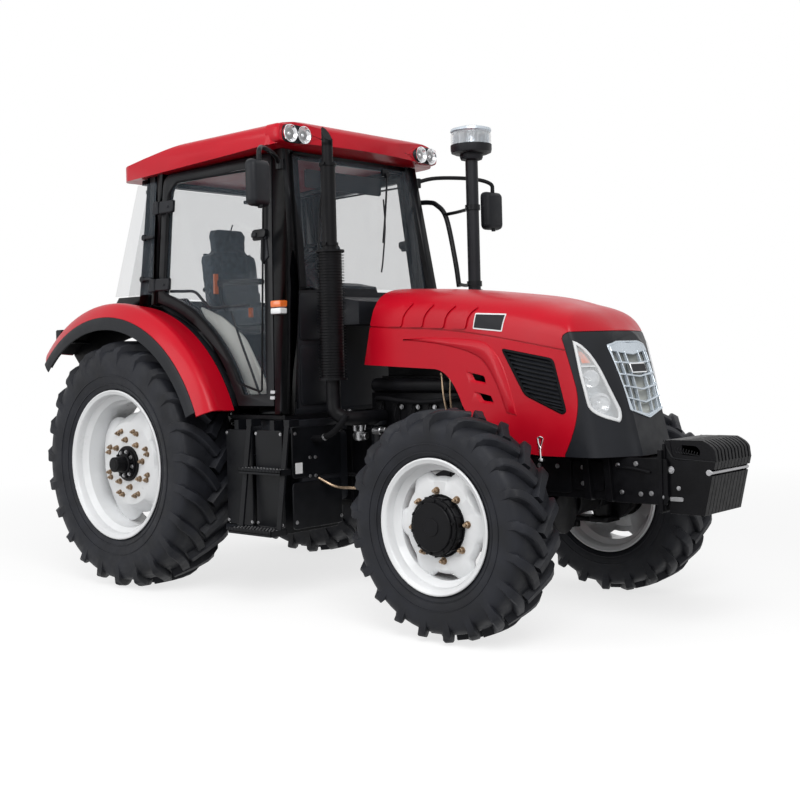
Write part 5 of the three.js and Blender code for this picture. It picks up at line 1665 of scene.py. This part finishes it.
def front_axle_details():
    """Pivot, drive shaft, flanges and bolts on the axle beam, and kingpin caps"""
    beam = Piece("front_axle_details")
    beam.drum(150, -70, 105, at(0, 0, FRONT_HUB, "x"), 36, 24)
    beam.drum(92, -196, -60, at(0, 0, FRONT_HUB, "x"), 32, 10)
    beam.drum(30, -1000, -190, at(0, 0, 560, "x"), 24)
    for x in (-960, -230):
        beam.drum(46, x - 30, x + 30, at(0, 0, 560, "x"), 24, 6)
    for sign in (1, -1):
        for y in (250, 470):
            beam.drum(88 if y < 300 else 80, y, y + 24, at(0, 0, FRONT_HUB, "y") @ flipped(sign), 32, 4)
    beam.done("cast_black", bevel=2)
    bolts = Piece("front_axle_bolts")
    for i in range(10):
        a = 2 * math.pi * i / 10 + 0.2
        bolts.bolt(at(104, 122 * math.cos(a), FRONT_HUB + 122 * math.sin(a), "x"), 8, 8)
    for sign in (1, -1):
        spot = flipped(sign)
        for i in range(8):
            a = 2 * math.pi * i / 8 + 0.3
            bolts.bolt(at(74 * math.cos(a), sign * 274, FRONT_HUB + 74 * math.sin(a), "y") @ spot, 7, 7)
    bolts.done("steel")
    for name, sign in SIDES:
        pin = Piece(f"kingpin_caps_{name}")
        pin.drum(46, 704, 716, at(0, sign * 600, 0), 28, 3)
        pin.drum(46, 400, 410, at(0, sign * 600, 0), 28, 3)
        for i in range(6):
            a = math.pi * i / 3
            pin.bolt(at(32 * math.cos(a), sign * 600 + 32 * math.sin(a), 715), 5.5, 5)
        pin.done("steel", f"knuckle_{name}_body", bevel=1)


# ------------------------------------------------------------------ rear end


def rear_details():
    """Axle flanges, power take-off with guard, couplers, plate and rear wiper"""
    axle = Piece("rear_axle_details")
    for sign in (1, -1):
        spot = flipped(sign)
        for y, radius in ((228, 168), (420, 126), (560, 134)):
            axle.drum(radius, y, y + 26, at(-WHEELBASE, 0, REAR_HUB, "y") @ spot, 36, 5)
        for i in range(10):
            a = 2 * math.pi * i / 10 + 0.15
            for radius, y, size, tall in ((148, 254, 9, 8), (118, 586, 8, 7)):
                x, z = -WHEELBASE + radius * math.cos(a), REAR_HUB + radius * math.sin(a)
                axle.bolt(at(x, sign * y, z, "y") @ spot, size, tall)
    axle.drum(96, -2716, -2698, at(0, 0, 640, "x"), 32, 4)
    axle.box(-2716, -2699, -150, 150, 760, 940)
    axle.done("cast_black", bevel=2)
    shaft = Piece("power_take_off")
    shaft.drum(17, -2810, -2700, at(0, 0, 640, "x"), 24, 3)
    for spot in around(at(-2806, 0, 640, "x"), 6):
        shaft.box(14, 19, -4, 4, 0, 74, spot)
    for i in range(4):
        for z in (800, 860):
            shaft.drum(16, -2742, -2712, at(0, -105 + i * 70, z, "x"), 20, 3)
            shaft.drum(10, -2752, -2740, at(0, -105 + i * 70, z, "x"), 16, 2)
    for x, y, z in ((-2717, -135, 925), (-2717, 135, 925), (-2717, -135, 775), (-2717, 135, 775)):
        shaft.bolt(at(x, y, z, "x") @ Matrix.Rotation(math.pi, 4, "X"), 8, 8)
    shaft.done("steel", bevel=0.8)
    guard = Piece("power_take_off_guard")
    arch = sampled([(-98, 600), (-92, 690), (-50, 736), (50, 736), (92, 690), (98, 600)], 4)
    ring = arch + [(y * 0.94, z - 6) for y, z in reversed(arch)]
    guard.loft([facing(ring, x) for x in (-2845, -2700)])
    guard.done("frame_black", bevel=1.5)
    plate = Piece("rear_blank_plate")
    plate.loft([facing(round_rect(-260, 0, 1500, 1610, 8), x) for x in (-2812, -2806)])
    plate.done("rim_white", bevel=1)
    bracket = Piece("rear_plate_bracket")
    bracket.box(-2808, -2796, -270, 10, 1490, 1620)
    bracket.done("frame_black", bevel=1)
    wiper = Piece("rear_window_fittings")
    wiper.drum(18, -2752, -2728, at(0, 0, 1860, "x"), 20, 3)
    wiper.tube([(-2756, 0, 1860), (-2752, 90, 2010), (-2745, 190, 2160)], 6, 8, 5)
    wiper.tube([(-2748, 120, 1990), (-2742, 190, 2160), (-2732, 250, 2320)], 5, 8, 5)
    for y in (-420, 420):
        wiper.box(-2760, -2724, y - 40, y + 40, 2478, 2502)
    wiper.done("frame_black", bevel=1.5)


def linkage_details():
    """Ball ends, pins, the levelling screw and the check chains of the three-point linkage"""
    arms = Piece("lift_arm_pins")
    for sign in (1, -1):
        arms.drum(20, 0, 30, outward(-2640, 351, 1060, sign), 20, 3)
    arms.done("steel", "lift_arms_body", bevel=0.8)
    for name, sign in SIDES:
        end = Piece(f"lower_link_ends_{name}")
        flip = flipped(sign)
        end.drum(19, -4, 4, at(-3400, sign * 387, 560, "y") @ flip, 20)
        end.turned([(16, -22), (30, -22), (33.5, 0), (30, 22), (16, 22)], 28, at(-3400, sign * 385, 560, "y"))
        end.turned([(14, -20), (28, -20), (30, 0), (28, 20), (14, 20)], 28, at(-2610, sign * 262, 430, "y"))
        end.done("steel", f"lower_link_{name}_body", bevel=1)
        screw = Piece(f"lift_rod_screw_{name}")
        low = Vector((-2991, sign * 364, 500))
        high = Vector((-2991, sign * 364, 1130))
        screw.tube([low.lerp(high, t) for t in (0.2, 0.5, 0.8)], 13, 16, straight=True)
        screw.tube([low.lerp(high, t) for t in (0.36, 0.64)], 21, 6, straight=True)
        screw.done("frame_black", f"lift_rod_{name}_body", bevel=1)
    link = Piece("top_link_details")
    link.drum(16, -56, 56, at(-2740, 0, 820, "y"), 20, 3)
    link.drum(16, -40, 40, at(-2740, 0, 1330, "y"), 20, 3)
    link.tube([(-2742, 0, 950), (-2738, 0, 1230)], 30, 20, straight=True)
    link.done("steel", bevel=1)
    pin = Piece("drawbar_pin")
    pin.drum(16, 400, 500, at(-3040, 0, 0), 20, 3)
    pin.drum(26, 498, 510, at(-3040, 0, 0), 20, 3)
    pin.tube([(-3040, 0, 508), (-3040, 26, 530), (-3040, 0, 552), (-3040, -26, 530), (-3040, 0, 508)], 5, 8,
             5)
    pin.done("steel", bevel=0.8)


front_weights()
front_frame_details()
engine_details()
tank_sides()
ladders()
cab_mounts_and_shade_sheets()
front_axle_details()
rear_details()
linkage_details()


# ------------------------------------------------------------------ seat pads

# Metres: the grid that the cover is remeshed to, how far it starts inside the CAD pad, the most that it
# may swell, and the depth of a sewn channel
PAD_VOXEL, PAD_SHRINK, PAD_REACH, SEAM_DEPTH = 0.008, 0.012, 0.018, 0.006
PAD_PRESSURE, PAD_FRAMES = 4, 20


def swollen(made, reach):
    """Swells a pad's cover by pressure, no point moving further than reach"""
    start = [v.co.copy() for v in made.data.vertices]
    cover = made.modifiers.new("swell", "CLOTH")
    cover.settings.use_pressure = True
    cover.settings.uniform_pressure_force = PAD_PRESSURE
    cover.settings.effector_weights.gravity = 0
    cover.collision_settings.use_collision = False
    cover.point_cache.frame_start = 1
    cover.point_cache.frame_end = PAD_FRAMES
    for step in range(1, PAD_FRAMES + 1):
        bpy.context.scene.frame_set(step)
    shape = apply_modifiers(made)
    bpy.context.scene.frame_set(1)
    for v, old in zip(shape.vertices, start):
        moved = v.co - old
        if moved.length > reach:
            v.co = old + moved * (reach / moved.length)


def seat_pad(node, seams):
    """A padded piece grown from its CAD solid; each seam is (axis, place, along, from, to) in millimetres"""
    source = NODES[node]
    data = source.data.copy()
    data.transform(source.matrix_world)
    made = new_object(f"{node}_padding", data)
    even = made.modifiers.new("even", "REMESH")
    even.mode = "VOXEL"
    even.voxel_size = PAD_VOXEL
    data = apply_modifiers(made)
    for v, normal in zip(data.vertices, [v.normal.copy() for v in data.vertices]):
        v.co -= normal * PAD_SHRINK
    swollen(made, PAD_REACH)
    made.modifiers.new("fine", "SUBSURF").levels = 1
    data = apply_modifiers(made)
    for v, normal in zip(data.vertices, [v.normal.copy() for v in data.vertices]):
        p = v.co * 1000 - Vector((AXLE_X * 1000, 0, 0))
        for axis, place, along, start, end in seams:
            off = abs(p[axis] - place)
            if off < 30 and start < p[along] < end:
                ease = min(1, (p[along] - start) / 25, (end - p[along]) / 25)
                v.co -= normal * SEAM_DEPTH * ease * math.exp(-(off / 9) ** 2)
    finish_piece(made, "seat_fabric", "chassis", (node,), angle=120)


seat_pad("seat_cushion", ((1, -115, 0, -2420, -1960), (1, 115, 0, -2420, -1960), (0, -2070, 1, -200, 200)))
seat_pad("seat_back", ((1, -110, 2, 1700, 2060), (1, 110, 2, 1700, 2060), (2, 2075, 1, -190, 190),
                       (2, 1830, 1, -110, 110), (2, 1950, 1, -110, 110)))


# ------------------------------------------------------------------ the CAD nodes that stay

WELD_WITHIN = 0.00001  # metres
CAD_EDGE = 3  # millimetres
HIDDEN = {name for name, node in NODES.items() if node.hide_render}
SLOT_OF = {part["node"]: part["material_slot"] for part in frame["record"]["subparts"]}
for name, node in sorted(NODES.items()):
    if name in HIDDEN:
        continue
    node.data.materials.clear()
    node.data.materials.append(LOOKS[SLOT_OF[name]])
    weld = node.modifiers.new("weld", "WELD")
    weld.merge_threshold = WELD_WITHIN
    soften(node, CAD_EDGE)
    node.data.shade_smooth()
    node.data.set_sharp_from_angle(angle=math.radians(32))


# ------------------------------------------------------------------ camera, floor and light

CAMERA_PLACE = (3646, -5206, 1376)
CAMERA_TURN = (131.86, -0.25, -1.47)  # heading, tilt and roll in degrees
CAMERA_LENS, CAMERA_SENSOR = 53.5, 36
CAMERA_SHIFT = (0.0066, -0.0488)


def row(x, y, z):
    """Millimetres from the front axle to metres in the row frame"""
    return Vector((x / 1000 + AXLE_X, y / 1000, z / 1000))


def add_camera():
    """A level view from the right and in front"""
    data = bpy.data.cameras.new("camera")
    made = new_object("camera", data)
    bpy.context.scene.camera = made
    heading, tilt, roll = [math.radians(v) for v in CAMERA_TURN]
    ahead = Vector((math.cos(tilt) * math.cos(heading), math.cos(tilt) * math.sin(heading), math.sin(tilt)))
    right = ahead.cross(Vector((0, 0, 1))).normalized()
    up = right.cross(ahead)
    rolled_right = math.cos(roll) * right + math.sin(roll) * up
    rolled_up = math.cos(roll) * up - math.sin(roll) * right
    turn = Matrix((rolled_right, rolled_up, -ahead)).transposed().to_4x4()
    made.matrix_world = Matrix.Translation(row(*CAMERA_PLACE)) @ turn
    data.sensor_width = CAMERA_SENSOR
    data.lens = CAMERA_LENS
    data.shift_x, data.shift_y = CAMERA_SHIFT


def camera_rays(tree):
    """1 where a ray comes from the camera, a reflection or through glass, 0 for lighting"""
    path = tree.nodes.new("ShaderNodeLightPath")
    total = path.outputs["Is Camera Ray"]
    for name in ("Is Glossy Ray", "Is Transmission Ray"):
        either = tree.nodes.new("ShaderNodeMath")
        either.operation = "MAXIMUM"
        tree.links.new(total, either.inputs[0])
        tree.links.new(path.outputs[name], either.inputs[1])
        total = either.outputs[0]
    return total


def mixed(tree, share, first, second):
    """The second shader's share of a blend of two"""
    node = tree.nodes.new("ShaderNodeMixShader")
    for spot, value in enumerate((share, first, second)):
        tree.links.new(value, node.inputs[spot])
    return node.outputs[0]


def shader_of(tree, kind, **sockets):
    """A simple shader node with constants on its sockets"""
    node = tree.nodes.new(kind)
    for name, value in sockets.items():
        node.inputs[name].default_value = value
    return node.outputs[0]


def add_world(light, shown):
    """Soft white light of one strength, seen as plain white at another"""
    world = bpy.data.worlds.new("studio")
    bpy.context.scene.world = world
    world.use_nodes = True
    tree = world.node_tree
    tree.nodes.remove(tree.nodes["Background"])
    lit = shader_of(tree, "ShaderNodeBackground", Color=(1, 1, 1, 1), Strength=light)
    seen = shader_of(tree, "ShaderNodeBackground", Color=(1, 1, 1, 1), Strength=shown)
    mix = mixed(tree, camera_rays(tree), lit, seen)
    tree.links.new(mix, tree.nodes["World Output"].inputs["Surface"])


def add_floor(size, albedo, glow, near, far):
    """A matt floor that keeps the tractor's shadow and fades to plain white with distance"""
    bpy.ops.mesh.primitive_plane_add(size=size, location=(0, 0, -0.001))
    floor = bpy.context.object
    floor.name = "floor"
    material = bpy.data.materials.new("floor")
    material.use_nodes = True
    tree = material.node_tree
    tree.nodes.remove(tree.nodes["Principled BSDF"])
    matt = shader_of(tree, "ShaderNodeBsdfDiffuse", Color=(albedo, albedo, albedo, 1))
    own = shader_of(tree, "ShaderNodeEmission", Strength=glow)
    white = shader_of(tree, "ShaderNodeEmission", Strength=1.0)
    both = tree.nodes.new("ShaderNodeAddShader")
    tree.links.new(matt, both.inputs[0])
    tree.links.new(own, both.inputs[1])
    reach = tree.nodes.new("ShaderNodeVectorMath")
    reach.operation = "LENGTH"
    tree.links.new(tree.nodes.new("ShaderNodeTexCoord").outputs["Object"], reach.inputs[0])
    fade = mixed(tree, span(tree, reach.outputs["Value"], 0, 1, near, far), both.outputs[0], white)
    only = mixed(tree, camera_rays(tree), matt, fade)
    tree.links.new(only, tree.nodes["Material Output"].inputs["Surface"])
    floor.data.materials.append(material)


def add_area(place, target, size, power):
    """A large soft light aimed at a point"""
    light = bpy.data.lights.new("soft_light", "AREA")
    light.size = size
    light.energy = power
    made = new_object("soft_light", light)
    made.location = place
    made.rotation_euler = (Vector(target) - Vector(place)).to_track_quat("-Z", "Y").to_euler()


add_camera()
add_world(light=0.38, shown=1.0)
add_floor(size=60, albedo=0.35, glow=0.74, near=3.2, far=8.0)
add_area((5.5, -5.0, 6.5), (0, 0, 1.0), 5.0, 470)
add_area((-2.0, -7.5, 4.0), (0, 0, 1.2), 5.0, 230)
bpy.context.scene.view_settings.view_transform = "Standard"
